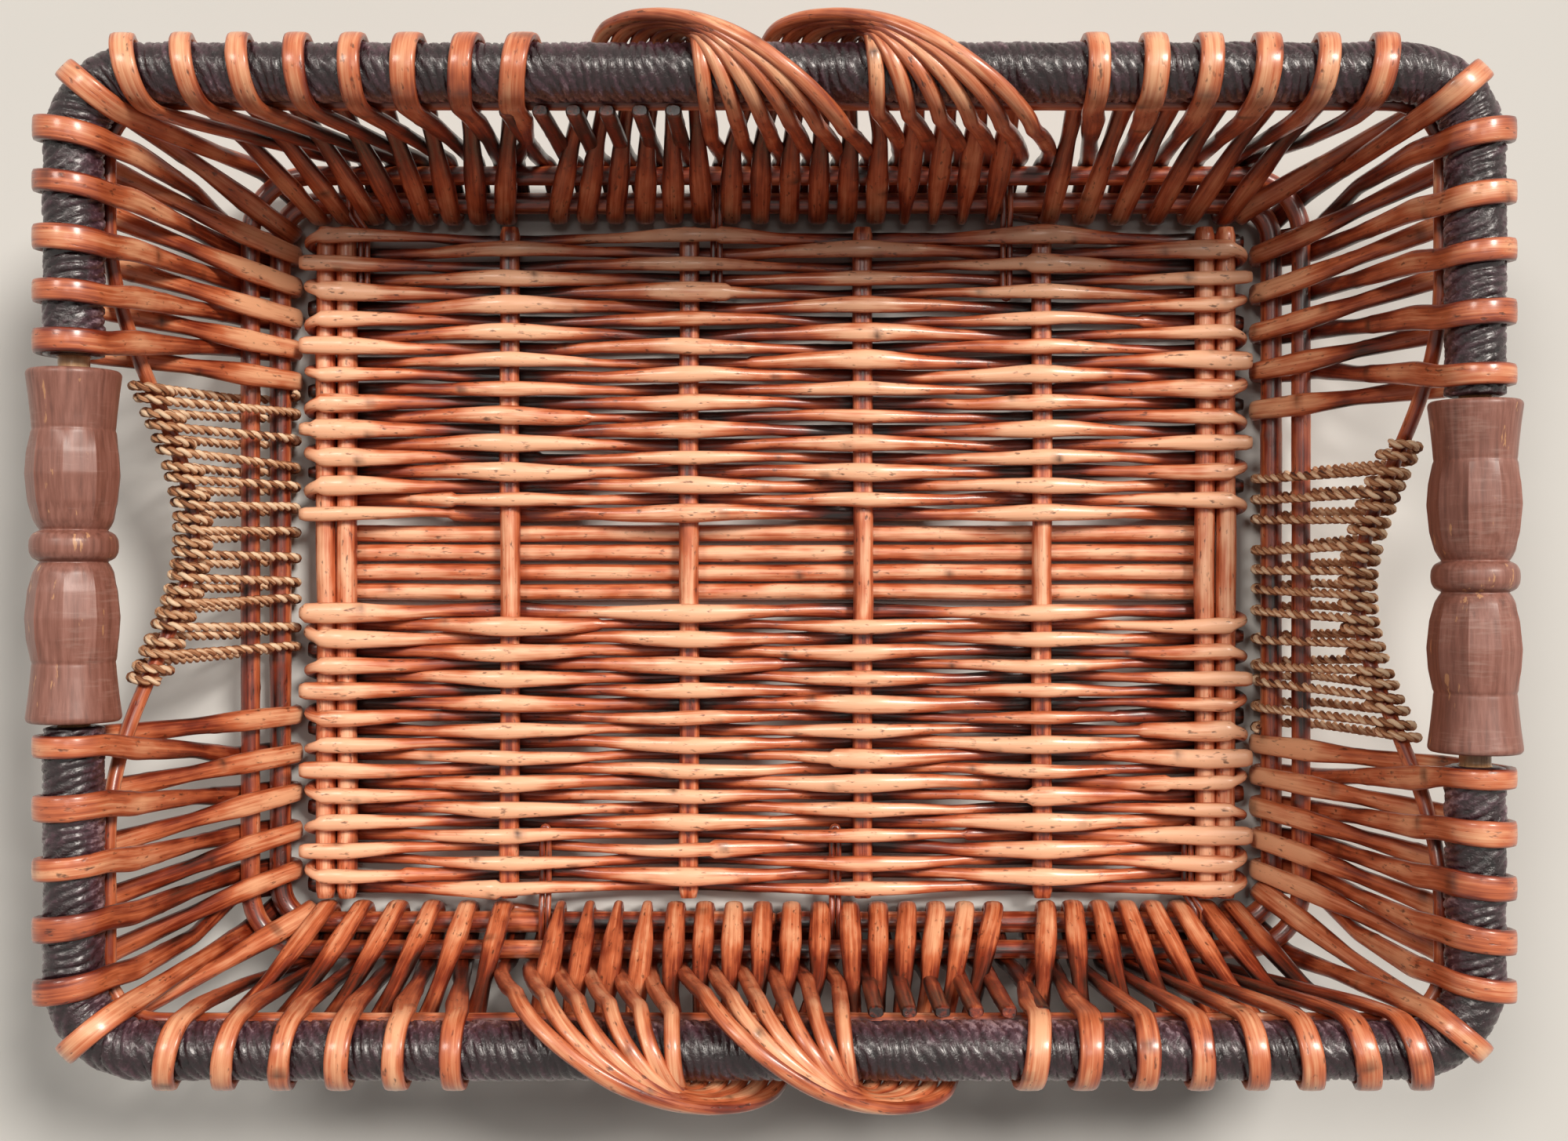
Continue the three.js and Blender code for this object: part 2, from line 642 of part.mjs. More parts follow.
function leastGap(points, perTurn) {
  const dense = [];
  for (let i = 0; i < points.length - 1; i++) {
    for (let k = 0; k < GAP_SAMPLES; k++) dense.push(points[i].clone().lerp(points[i + 1], k / GAP_SAMPLES));
  }
  let least = Infinity;
  const apart = Math.round((perTurn * GAP_SAMPLES) / 2);
  dense.forEach((point, i) => {
    for (let j = i + apart; j < dense.length; j++) least = Math.min(least, point.distanceTo(dense[j]));
  });
  return least - 2 * ROPE_R;
}

const ropePath = ropePoints();
const ropeGap = leastGap(ropePath, ropePath.length / ROPE_TURNS);
console.log(`least gap between turns of the rope: ${ropeGap.toFixed(2)} mm`);
const ropeSection = rectangle(2 * ROPE_R, 2 * ROPE_R);
addTwo('left_rope', 'right_rope', rod(ropePath, LEFT.along, ropeSection), SEAGRASS);

// Mat: stakes along Y, four sticks under them along X, and weavers that go over and under the stakes. It fills
// the space that the feet of the walls leave.
const feetInside = (side) => figureOfEight(side, 0, LOOP_CORNERS).foot.at(-1).n - ROD_THICK / 2 - CLEAR;
const MAT_HALF_X = feetInside(LEFT);
const STAKE_HALF = feetInside(BACK);
const END_STAKE = MAT_HALF_X - WEAVER - CLEAR - STAKE_R;
const PAIR_STAKE = END_STAKE - 2 * STAKE_R - CLEAR;
const stakePlaces = [-END_STAKE, -PAIR_STAKE, -STAKE_OUTER, -STAKE_INNER];
stakePlaces.push(...stakePlaces.map((x) => -x).reverse());
stakePlaces.forEach((x, i) => {
  const ends = [new THREE.Vector3(x, -STAKE_HALF, BASE_Z), new THREE.Vector3(x, STAKE_HALF, BASE_Z)];
  add(`stake_${i + 1}`, rod(ends, UP, polygon(STAKE_R, STAKE_SIDES)), WILLOW);
});

for (let i = 0; i < STICKS; i++) {
  const y = STICK_PITCH * (i - (STICKS - 1) / 2);
  const z = STICK_LIFT + STICK_R;
  const ends = [new THREE.Vector3(-PAIR_STAKE, y, z), new THREE.Vector3(PAIR_STAKE, y, z)];
  add(`centre_stick_${i + 1}`, rod(ends, UP, polygon(STICK_R, STAKE_SIDES)), WILLOW);
}

const RISE = STAKE_R + CLEAR + WEAVER / 2;
const TURN_CHAMFER = RISE * Math.tan(Math.PI / 8);
const columns = [
  [-END_STAKE - TURN_CHAMFER, -PAIR_STAKE],
  [-STAKE_OUTER],
  [-STAKE_INNER],
  [STAKE_INNER],
  [STAKE_OUTER],
  [PAIR_STAKE, END_STAKE + TURN_CHAMFER],
];

function rowPoints(row, y, leftward) {
  const points = [];
  columns.forEach((column, c) => {
    const z = BASE_Z + ((row + c) % 2 ? -RISE : RISE);
    column.forEach((x) => points.push(new THREE.Vector3(x, y, z)));
  });
  return leftward ? points.reverse() : points;
}

function weaver(firstRow, rows, rowAt) {
  const points = [];
  const turn = MAT_HALF_X - WEAVER / 2;
  for (let i = 0; i < rows; i++) {
    const leftward = i % 2 === 1;
    const y = rowAt(firstRow + i);
    const row = rowPoints(firstRow + i, y, leftward);
    if (i === 0) points.push(new THREE.Vector3(-MAT_HALF_X, y, row[0].z));
    points.push(...row);
    const side = leftward ? -1 : 1;
    const isLast = i === rows - 1;
    const past = (y + rowAt(firstRow + i + 1)) / 2;
    if (isLast) points.push(new THREE.Vector3(side * MAT_HALF_X, y, row.at(-1).z));
    else {
      const dip = row.at(-1).z > BASE_Z ? TURN_CHAMFER : -TURN_CHAMFER;
      points.push(new THREE.Vector3(side * turn, lerp(y, past, 0.5), BASE_Z + dip));
      points.push(new THREE.Vector3(side * turn, lerp(y, past, 1.5), BASE_Z - dip));
    }
  }
  return rod(points, LEFT.along, rectangle(WEAVER, WEAVER));
}

function weave(name, side, lengths) {
  const rows = lengths.reduce((sum, length) => sum + length, 0);
  const rowAt = (row) => side * lerp(MAT_MIDDLE, MAT_HALF_Y, row / (rows - 1));
  let firstRow = 0;
  lengths.forEach((length, i) => {
    add(`${name}_${i + 1}`, weaver(firstRow, length, rowAt), WILLOW);
    firstRow += length;
  });
}

weave('weaver_back', 1, BACK_LENGTHS);
weave('weaver_front', -1, FRONT_LENGTHS);

// Ties: a thin stick doubled over, its bend in the mat and its two tips between the ring rods.
const TIE_HALF = TIE_R + CLEAR / 2; // from the middle of a tie to each of its legs

function tie(matX, ringX) {
  const over = RING_Z + RING_R + CLEAR + TIE_R;
  const bendY = MAT_HALF_Y - TIE_DEPTH;
  const leg = (side) => [
    new THREE.Vector3(ringX + side * TIE_HALF, RING_HALF_Y + TIE_REACH, over),
    new THREE.Vector3(ringX + side * TIE_HALF, RING_HALF_Y - RING_R - TIE_R, over),
    new THREE.Vector3(matX + side * TIE_HALF, MAT_HALF_Y + WEAVER / 2 + CLEAR, BASE_Z),
    new THREE.Vector3(matX + side * TIE_HALF, bendY + TIE_HALF, BASE_Z),
    new THREE.Vector3(matX + (side * TIE_HALF) / 2, bendY, BASE_Z),
  ];
  return rod([...leg(-1), ...leg(1).reverse()], UP, polygon(TIE_R, TIE_SIDES));
}

// Each tie lies beside a stake in the mat and comes out half way between two legs of the wall.
const TIE_SLOT = 1.5 / (PLAIN_LEFT - 1);
const pairTie = -PAIR_STAKE + STAKE_R + CLEAR + TIE_HALF + TIE_R;
const pairSlot = lerp(lerp(...leftFeet, TIE_SLOT), lerp(...leftLoops, TIE_SLOT), TIE_LEAN);
const innerSlot = FIRST_SCALLOP_FOOT + FOOT_PITCH / 2;
const outerSlot = firstFiller + FOOT_PITCH * (FILLERS - 0.5);
const tiePlaces = [
  [pairTie, pairSlot],
  [innerSlot, innerSlot],
  [outerSlot, outerSlot],
];
tiePlaces.forEach((places, i) => {
  addTwo(`back_tie_${i + 1}`, `front_tie_${i + 1}`, tie(...places), DARK_WILLOW);
});

export default group;
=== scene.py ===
# %% [markdown]
# A wicker tray basket, dressed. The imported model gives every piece's place and size as plain
# solids: a bound rim pole, two turned handles, a base ring, walls of laced willow rods and a woven
# mat. Here each solid is replaced by a finer piece with the roundness, taper and small faults of
# real rods, and gets a finish of its own. The finer pieces follow the solids' lines. Only the feet and
# loops next to the corners stand a few millimetres nearer to them, and the ropes are wound more openly.

# %% Load the frame
import math
import random

import bmesh
import bpy
import numpy as np
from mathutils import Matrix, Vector


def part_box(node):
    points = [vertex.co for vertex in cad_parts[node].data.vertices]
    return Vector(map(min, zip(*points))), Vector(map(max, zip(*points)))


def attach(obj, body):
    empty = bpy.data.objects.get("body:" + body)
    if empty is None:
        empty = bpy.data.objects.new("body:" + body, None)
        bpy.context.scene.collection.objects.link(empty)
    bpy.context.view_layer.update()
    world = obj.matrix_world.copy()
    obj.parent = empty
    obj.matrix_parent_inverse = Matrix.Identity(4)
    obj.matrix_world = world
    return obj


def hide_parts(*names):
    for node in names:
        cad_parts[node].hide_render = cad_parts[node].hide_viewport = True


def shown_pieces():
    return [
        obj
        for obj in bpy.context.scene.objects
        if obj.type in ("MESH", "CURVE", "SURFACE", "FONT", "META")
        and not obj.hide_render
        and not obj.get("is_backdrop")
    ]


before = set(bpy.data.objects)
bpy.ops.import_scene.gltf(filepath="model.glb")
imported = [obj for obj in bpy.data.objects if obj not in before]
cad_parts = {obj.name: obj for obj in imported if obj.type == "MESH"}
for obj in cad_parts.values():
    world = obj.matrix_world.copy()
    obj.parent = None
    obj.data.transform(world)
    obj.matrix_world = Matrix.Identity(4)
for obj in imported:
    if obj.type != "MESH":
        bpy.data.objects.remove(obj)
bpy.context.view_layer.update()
SEED = 11
rng = random.Random(SEED)

# %% [markdown]
# Lengths below are in millimetres, as a basket maker would give them, and become metres when a mesh
# is written. What the frame knows is measured from it, so the pieces stay where the solids are. The
# solids have few sides, so a true radius is the half height over the cosine of half a side's angle.

# %% Measure the frame
MM = 0.001


def box_mm(node):
    low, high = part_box(node)
    return low / MM, high / MM


def true_radius(node, sides):
    low, high = box_mm(node)
    return (high.z - low.z) / 2 / math.cos(math.pi / sides)


CLEAR = 0.3
POLE_SIDES = 8
RING_SIDES = 6
low, high = box_mm("left_handle")
HANDLE_LENGTH = high.y - low.y
HANDLE_SHIFT = (low.y + high.y) / 2
RIM_HALF_X = -(low.x + high.x) / 2
RIM_Z = (low.z + high.z) / 2
low, high = box_mm("rim_binding_back")
RIM_HALF_Y = high.y - (high.z - low.z) / 2
BINDING_R = true_radius("rim_binding_back", POLE_SIDES)
POLE_R = true_radius("rim_pole_back", POLE_SIDES)
RIM_CORNER = 24
low, high = box_mm("base_ring_inner")
RING_R = true_radius("base_ring_inner", RING_SIDES)
RING_Z = (low.z + high.z) / 2
RING_HALF_X = high.x - RING_R
RING_HALF_Y = high.y - RING_R
RING_CORNER = 14
low, high = box_mm("base_ring_outer")
OUTER_RING_R = true_radius("base_ring_outer", RING_SIDES)
OUTER_RING_Z = (low.z + high.z) / 2
OUTER_RING_STEP = high.x - OUTER_RING_R - RING_HALF_X
low, high = box_mm("stake_1")
STAKE_R = (high.x - low.x) / 2 / math.cos(math.pi / POLE_SIDES)
STAKE_HALF = high.y
BASE_Z = (low.z + high.z) / 2
print(f"rim {RIM_HALF_X:.1f} x {RIM_HALF_Y:.1f} at {RIM_Z:.1f}, binding radius {BINDING_R:.2f}")
print(f"ring {RING_HALF_X:.1f} x {RING_HALF_Y:.1f} at {RING_Z:.1f}, radius {RING_R:.2f}")

# %% [markdown]
# Nearly everything on a basket is a rod bent along some line. A curve object with a round bevel could
# draw one, but it has one section all along. Real willow is flattened where it bends, tapers, and has
# leaf scars. So a rod here is a flat grid that is rolled up round its line, one row of the grid for
# each step along it. Each point also keeps where it lies in the straightened rod, how light its wood
# is with painted shade added, and how near it is to a scar, and the finishes read those to make the
# grain follow the bends.

# %% Rods from rolled grids
LAYERS = ("tone_and_shade", "scar")
SCAR_SPACING = (24, 70)
SCAR_LENGTH = 1.7
SCAR_DEPTH = (0.5, 1)
SCAR_NARROW = 4
SCAR_SWELL = 0.08
# Painted shade: how much darker a rod is along its sides and in its grooves.
SIDE_PAINTED_SHADE = 0.32
GROOVE_PAINTED_SHADE = 1.6
DRIFT_SHARES = (1.0, 0.47, 0.23)
END_SIZE = 0.8


def start_piece():
    bm = bmesh.new()
    bm.verts.layers.float_vector.new("rod_co")
    for name in LAYERS:
        bm.verts.layers.float.new(name)
    return {"bm": bm, "seams": {}}


def resample(points, values, step, soften=0):
    """The path and the values at its points, in even steps, with its corners rounded off."""
    points = np.asarray(points, float)
    values = np.asarray(values, float)
    run = np.concatenate([[0], np.cumsum(np.linalg.norm(np.diff(points, axis=0), axis=1))])
    count = max(int(run[-1] / step), 2)
    at = np.linspace(0, run[-1], count + 1)
    data = np.column_stack([points, values])
    data = np.column_stack([np.interp(at, run, column) for column in data.T])
    if soften:
        half = int(3 * soften / step) + 1
        weight = np.exp(-0.5 * (np.arange(-half, half + 1) * step / soften) ** 2)
        weight /= weight.sum()
        before = 2 * data[0] - data[half:0:-1]
        after = 2 * data[-1] - data[-2 : -half - 2 : -1]
        padded = np.vstack([before, data, after])
        data = np.column_stack([np.convolve(column, weight, "valid") for column in padded.T])
    return data[:, :3], data[:, 3:]


def wander(count, step, length, amount):
    """A smooth random drift along a rod, about as long as one of its bends."""
    at = np.arange(count) * step
    drift = np.zeros(count)
    for share in DRIFT_SHARES:
        drift += share * np.sin(2 * math.pi * (at / (length * share) + rng.random()))
    return amount * drift / sum(DRIFT_SHARES)


def scars(run):
    """Places of the leaf scars along a rod, and the side of the rod that each is on."""
    found = []
    at = rng.uniform(*SCAR_SPACING) / 2
    while at < run[-1]:
        found.append((at, rng.uniform(0, 2 * math.pi), rng.uniform(*SCAR_DEPTH)))
        at += rng.uniform(*SCAR_SPACING)
    return found


def add_rod(
    piece, path, wide, thick, facing, tone_and_shade=0.5, sides=10, turn=1, scarred=True, ridge=None, square=2.0
):
    """Rolls one rod. Width lies along facing, thickness across it. turn -1 is half a turn about Z.

    A square of 2 gives an ellipse, and more gives a section with flatter sides. A rod gets painted
    shade along its sides, where rods lie side by side, and painted shade in its grooves.
    """
    path = np.asarray(path, float) * (turn, turn, 1)
    facing = np.asarray(facing, float) * (turn, turn, 1)
    count = len(path)
    sizes = [np.broadcast_to(np.asarray(x, float), count) for x in (wide, thick, tone_and_shade, square)]
    wide, thick, tone_and_shade, square = sizes
    tangent = np.gradient(path, axis=0)
    tangent /= np.linalg.norm(tangent, axis=1)[:, None]
    across = facing - tangent * (tangent * facing).sum(axis=1)[:, None]
    across /= np.linalg.norm(across, axis=1)[:, None]
    normal = np.cross(tangent, across)
    run = np.concatenate([[0], np.cumsum(np.linalg.norm(np.diff(path, axis=0), axis=1))])
    angle = np.arange(sides + 1) / sides * 2 * math.pi
    swell = np.ones((count, sides + 1))
    scar = np.zeros((count, sides + 1))
    for place, side, depth in scars(run) if scarred else ():
        near = np.exp(-(((run - place) / SCAR_LENGTH) ** 2))[:, None]
        scar = np.maximum(scar, depth * near * np.clip(np.cos(angle - side), 0, 1) ** SCAR_NARROW)
        swell += SCAR_SWELL * depth * near * (0.5 + 0.5 * np.cos(angle - side))
    # Painted shade along the sides, where a rod lies against its neighbours.
    tones = tone_and_shade[:, None] - SIDE_PAINTED_SHADE * np.cos(angle) ** 2
    if ridge is not None:
        ridges = ridge(run[:, None], angle[None, :])
        swell *= ridges
        # Painted shade in the grooves between ridges.
        tones += GROOVE_PAINTED_SHADE * (ridges - 1)
    ends = np.ones(count)
    ends[[0, -1]] = END_SIZE
    flat = 2 / square[:, None]
    x = np.sign(np.cos(angle)) * np.abs(np.cos(angle)) ** flat * (wide * ends / 2)[:, None] * swell
    y = np.sign(np.sin(angle)) * np.abs(np.sin(angle)) ** flat * (thick * ends / 2)[:, None] * swell
    spots = path[:, None, :] + across[:, None, :] * x[..., None] + normal[:, None, :] * y[..., None]
    straight = np.stack([x, y, np.broadcast_to(run[:, None], x.shape)], axis=-1) * MM
    straight += (rng.random(), rng.random(), rng.random())
    bm = piece["bm"]
    verts = bmesh.ops.create_grid(bm, x_segments=sides, y_segments=count - 1, size=1)["verts"]
    rod_co = bm.verts.layers.float_vector["rod_co"]
    tone_layer = bm.verts.layers.float["tone_and_shade"]
    scar_layer = bm.verts.layers.float["scar"]
    columns = np.dstack([spots * MM, straight, tones, scar]).reshape(-1, 8).tolist()
    for vert, values in zip(verts, columns):
        vert.co = values[:3]
        vert[rod_co] = values[3:6]
        vert[tone_layer] = values[6]
        vert[scar_layer] = values[7]
    piece["seams"].update({verts[i + sides]: verts[i] for i in range(0, len(verts), sides + 1)})


def finish_piece(piece, node, material, body="basket"):
    """Closes the rods' seams and ends, and puts the piece in the place of its CAD node."""
    bm = piece["bm"]
    bmesh.ops.weld_verts(bm, targetmap=piece["seams"])
    bmesh.ops.edgeloop_fill(bm, edges=[edge for edge in bm.edges if edge.is_boundary])
    bmesh.ops.recalc_face_normals(bm, faces=bm.faces[:])
    return place_piece(bm, node, material, body)


def place_piece(bm, node, material, body):
    # Quads are the sides of rods. Faces with more corners are cut ends, which stay flat.
    for face in bm.faces:
        face.smooth = len(face.verts) <= 4
    mesh = bpy.data.meshes.new(f"{node}_dressed")
    bm.to_mesh(mesh)
    bm.free()
    mesh.materials.append(material)
    obj = bpy.data.objects.new(f"{node}_dressed", mesh)
    bpy.context.scene.collection.objects.link(obj)
    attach(obj, body)
    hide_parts(node)
    return obj


def triangles(*objs):
    return sum(len(face.vertices) - 2 for obj in objs for face in obj.data.polygons)


print("values kept at each point of a rod:", ("rod_co", *LAYERS))


# %% [markdown]
# Finishes come next. Every colour is written as it would be picked in a paint program, in sRGB, and one
# function turns it to the linear light that shaders use. Another small function adds a node with its
# settings and links, so that a finish reads as a list of what feeds what.

# %% Colour and node helpers
# A Mix node has sockets for numbers, for vectors and for colours. These are the ones for colours.
MIX_FIRST = 6
MIX_SECOND = 7
MIX_RESULT = 2


def colour(code):
    """A hex colour as linear red, green, blue and alpha."""
    parts = [int(code[i : i + 2], 16) / 255 for i in (1, 3, 5)]
    return [c / 12.92 if c <= 0.04045 else ((c + 0.055) / 1.055) ** 2.4 for c in parts] + [1]


def add_node(tree, kind, links, stops=None, **settings):
    """A node with its settings. A link is a socket to take from, or a plain value."""
    node = tree.nodes.new(kind)
    for name, value in settings.items():
        setattr(node, name, value)
    for key, source in links.items():
        if isinstance(source, bpy.types.NodeSocket):
            tree.links.new(source, node.inputs[key])
        else:
            node.inputs[key].default_value = source
    if stops:
        ramp = node.color_ramp.elements
        while len(ramp) < len(stops):
            ramp.new(0.5)
        for element, (place, code) in zip(ramp, stops):
            element.position = place
            element.color = colour(code)
    return node


def start_finish(name):
    material = bpy.data.materials.new(name)
    material.use_nodes = True
    tree = material.node_tree
    return material, tree, tree.nodes["Principled BSDF"]


def per_mm(x, y, z):
    """Pattern scale for features of these sizes in millimetres."""
    return (1 / (x * MM), 1 / (y * MM), 1 / (z * MM))


print("half grey in linear light:", round(colour("#808080")[0], 3))


# %% [markdown]
# Willow: peeled rods, stained and varnished. The stain sinks in unevenly, so the eye sees long streaks
# along the rod, soft lighter and darker patches, dark leaf scars and small pits, all under a satin
# varnish. The streaks use the rod's own straightened coordinates, because object coordinates would cut
# across the bends. A rod's tone, which carries its painted shade too, moves it up or down the same range
# of colours.

# %% Willow finish
STREAK_SHARE = 0.8
PATCH_SHARE = 0.8
PIT_DEPTH = 1.2


def willow_finish(name, stops, pit_code, roughness):
    material, tree, shader = start_finish(name)
    grain = add_node(tree, "ShaderNodeAttribute", {}, attribute_name="rod_co").outputs["Vector"]
    # The tone holds the rod's own lightness plus painted shade from its sides, grooves, crossings and dives.
    tone_and_shade = add_node(tree, "ShaderNodeAttribute", {}, attribute_name="tone_and_shade").outputs["Fac"]
    scar = add_node(tree, "ShaderNodeAttribute", {}, attribute_name="scar").outputs["Fac"]
    # Streaks of 1.1 by 28 mm, patches of 7 by 16 mm and pits of 1.5 by 4 mm, drawn coarse to show.
    noises = []
    patterns = ((1.1, 1.1, 28), 3, 0.6), ((7, 7, 16), 2, 0.5), ((1.5, 1.5, 4), 2, 0.55)
    for size, detail, rough in patterns:
        at = add_node(tree, "ShaderNodeMapping", {"Vector": grain, "Scale": per_mm(*size)}).outputs[0]
        links = {"Vector": at, "Scale": 1, "Detail": detail, "Roughness": rough}
        noises.append(add_node(tree, "ShaderNodeTexNoise", links).outputs["Fac"])
    streak, patch, pit = noises
    links = {0: streak, 1: STREAK_SHARE, 2: -(STREAK_SHARE + PATCH_SHARE) / 2}
    streaked = add_node(tree, "ShaderNodeMath", links, operation="MULTIPLY_ADD").outputs[0]
    links = {0: patch, 1: PATCH_SHARE, 2: streaked}
    patched = add_node(tree, "ShaderNodeMath", links, operation="MULTIPLY_ADD").outputs[0]
    level = add_node(tree, "ShaderNodeMath", {0: patched, 1: tone_and_shade}, operation="ADD").outputs[0]
    wood = add_node(tree, "ShaderNodeValToRGB", {"Fac": level}, stops=stops).outputs["Color"]
    links = {"Value": pit, "From Min": 0.62, "From Max": 0.74, "To Min": 0, "To Max": 0.75}
    pitted = add_node(tree, "ShaderNodeMapRange", links).outputs[0]
    marked = add_node(tree, "ShaderNodeMath", {0: pitted, 1: scar}, operation="MAXIMUM").outputs[0]
    links = {0: marked, MIX_FIRST: wood, MIX_SECOND: colour(pit_code)}
    stained = add_node(tree, "ShaderNodeMix", links, data_type="RGBA").outputs[MIX_RESULT]
    links = {"Value": patch, "To Min": roughness - 0.1, "To Max": roughness + 0.15}
    gloss = add_node(tree, "ShaderNodeMapRange", links).outputs[0]
    links = {0: marked, 1: -PIT_DEPTH, 2: streak}
    relief = add_node(tree, "ShaderNodeMath", links, operation="MULTIPLY_ADD").outputs[0]
    links = {"Height": relief, "Strength": 0.5, "Distance": 0.25 * MM}
    bump = add_node(tree, "ShaderNodeBump", links).outputs[0]
    for socket, source in (("Base Color", stained), ("Roughness", gloss), ("Normal", bump)):
        tree.links.new(source, shader.inputs[socket])
    shader.inputs["IOR"].default_value = 1.5
    shader.inputs["Coat Weight"].default_value = 0.5
    shader.inputs["Coat Roughness"].default_value = 0.2
    return material


WILLOW_STOPS = [(0.05, "#1e0300"), (0.33, "#842e14"), (0.62, "#cb6c41"), (0.94, "#f9be97")]
# The walls' willow is a slightly darker copy of the mat's willow, as painted shade on the walls.
WALL_PAINTED_SHADE_STOPS = [(0.05, "#190200"), (0.36, "#802c11"), (0.64, "#cb6e44"), (0.95, "#f5b68b")]
willow = willow_finish("stained_varnished_willow", WILLOW_STOPS, "#321406", 0.42)
willow_with_painted_shade = willow_finish("willow_painted_shade", WALL_PAINTED_SHADE_STOPS, "#2a1005", 0.38)
print("finishes so far:", len(bpy.data.materials))

# %% [markdown]
# Rush: the rim is bound with twisted paper rush, nearly black with a purple-brown cast. Each turn is a
# ridge in the mesh with painted shade in the grooves, and the twist shows as fine wrinkles whose crests
# get a dull painted sheen.

# %% Rush finish
WRINKLE_SHARE = 0.7
BLOTCH_SHARE = 0.5
RUSH_AND_SHEEN_STOPS = [(0.3, "#0c0305"), (0.6, "#281319"), (0.82, "#4e333d"), (1.0, "#9c848c")]


def rush_finish():
    material, tree, shader = start_finish("twisted_paper_rush")
    grain = add_node(tree, "ShaderNodeAttribute", {}, attribute_name="rod_co").outputs["Vector"]
    tone_and_shade = add_node(tree, "ShaderNodeAttribute", {}, attribute_name="tone_and_shade").outputs["Fac"]
    # Wrinkles of 2.2 by 1.5 mm, drawn coarse to show, and blotches of 8 by 5 mm.
    noises = []
    for size, detail, rough in (((2.2, 2.2, 1.5), 3, 0.6), ((8, 8, 5), 2, 0.5)):
        at = add_node(tree, "ShaderNodeMapping", {"Vector": grain, "Scale": per_mm(*size)}).outputs[0]
        links = {"Vector": at, "Scale": 1, "Detail": detail, "Roughness": rough}
        noises.append(add_node(tree, "ShaderNodeTexNoise", links).outputs["Fac"])
    wrinkle, blotch = noises
    links = {0: wrinkle, 1: WRINKLE_SHARE, 2: tone_and_shade}
    level = add_node(tree, "ShaderNodeMath", links, operation="MULTIPLY_ADD").outputs[0]
    links = {0: blotch, 1: BLOTCH_SHARE, 2: level}
    spread = add_node(tree, "ShaderNodeMath", links, operation="MULTIPLY_ADD").outputs[0]
    # The light top of the range is a painted sheen on the crests of the wrinkles.
    paper_and_painted_sheen = add_node(tree, "ShaderNodeValToRGB", {"Fac": spread}, stops=RUSH_AND_SHEEN_STOPS).outputs["Color"]
    links = {"Value": blotch, "To Min": 0.25, "To Max": 0.5}
    gloss = add_node(tree, "ShaderNodeMapRange", links).outputs[0]
    links = {"Height": wrinkle, "Strength": 0.9, "Distance": 0.6 * MM}
    bump = add_node(tree, "ShaderNodeBump", links).outputs[0]
    for socket, source in (("Base Color", paper_and_painted_sheen), ("Roughness", gloss), ("Normal", bump)):
        tree.links.new(source, shader.inputs[socket])
    shader.inputs["Coat Weight"].default_value = 0.35
    shader.inputs["Coat Roughness"].default_value = 0.2
    return material


rush = rush_finish()
print("rush:", len(rush.node_tree.nodes), "nodes")

# %% [markdown]
# Seagrass: straw-coloured and matt, twisted from bundles of flat grass. Fibres run along each strand,
# a few of them brown, so the streaks are short and strong and there is no varnish.

# %% Seagrass finish
FIBRE_SHARE = 0.9
BAND_SHARE = 0.6
GRASS_STOPS = [(0.4, "#3d1508"), (0.58, "#8d5634"), (0.78, "#c9946b"), (1.0, "#fadcb9")]


def seagrass_finish():
    material, tree, shader = start_finish("twisted_seagrass")
    grain = add_node(tree, "ShaderNodeAttribute", {}, attribute_name="rod_co").outputs["Vector"]
    tone_and_shade = add_node(tree, "ShaderNodeAttribute", {}, attribute_name="tone_and_shade").outputs["Fac"]
    # Fibres of 0.55 by 9 mm, drawn coarse to show, and bands of 4 by 22 mm.
    noises = []
    for size, detail, rough in (((0.55, 0.55, 9), 3, 0.65), ((4, 4, 22), 2, 0.5)):
        at = add_node(tree, "ShaderNodeMapping", {"Vector": grain, "Scale": per_mm(*size)}).outputs[0]
        links = {"Vector": at, "Scale": 1, "Detail": detail, "Roughness": rough}
        noises.append(add_node(tree, "ShaderNodeTexNoise", links).outputs["Fac"])
    fibre, band = noises
    links = {0: fibre, 1: FIBRE_SHARE, 2: tone_and_shade}
    level = add_node(tree, "ShaderNodeMath", links, operation="MULTIPLY_ADD").outputs[0]
    links = {0: band, 1: BAND_SHARE, 2: level}
    spread = add_node(tree, "ShaderNodeMath", links, operation="MULTIPLY_ADD").outputs[0]
    grass = add_node(tree, "ShaderNodeValToRGB", {"Fac": spread}, stops=GRASS_STOPS).outputs["Color"]
    links = {"Height": fibre, "Strength": 0.8, "Distance": 0.3 * MM}
    bump = add_node(tree, "ShaderNodeBump", links).outputs[0]
    for socket, source in (("Base Color", grass), ("Normal", bump)):
        tree.links.new(source, shader.inputs[socket])
    shader.inputs["Roughness"].default_value = 0.75
    return material


seagrass = seagrass_finish()
print("seagrass:", len(seagrass.node_tree.nodes), "nodes")

# %% [markdown]
# Turned wood: the handles are a close-grained wood stained grey-brown and rubbed to a satin. They lie
# along Y, so object coordinates with a long scale in Y give the grain. Lighter scuffs cross it where hands
# have worn the turning marks, and the stain has chipped off along the grain here and there, down to the
# pale wood.

# %% Turned wood and rattan finishes
TURNED_STOPS = [(0.2, "#633d33"), (0.45, "#845447"), (0.6, "#936255"), (0.9, "#a97669")]


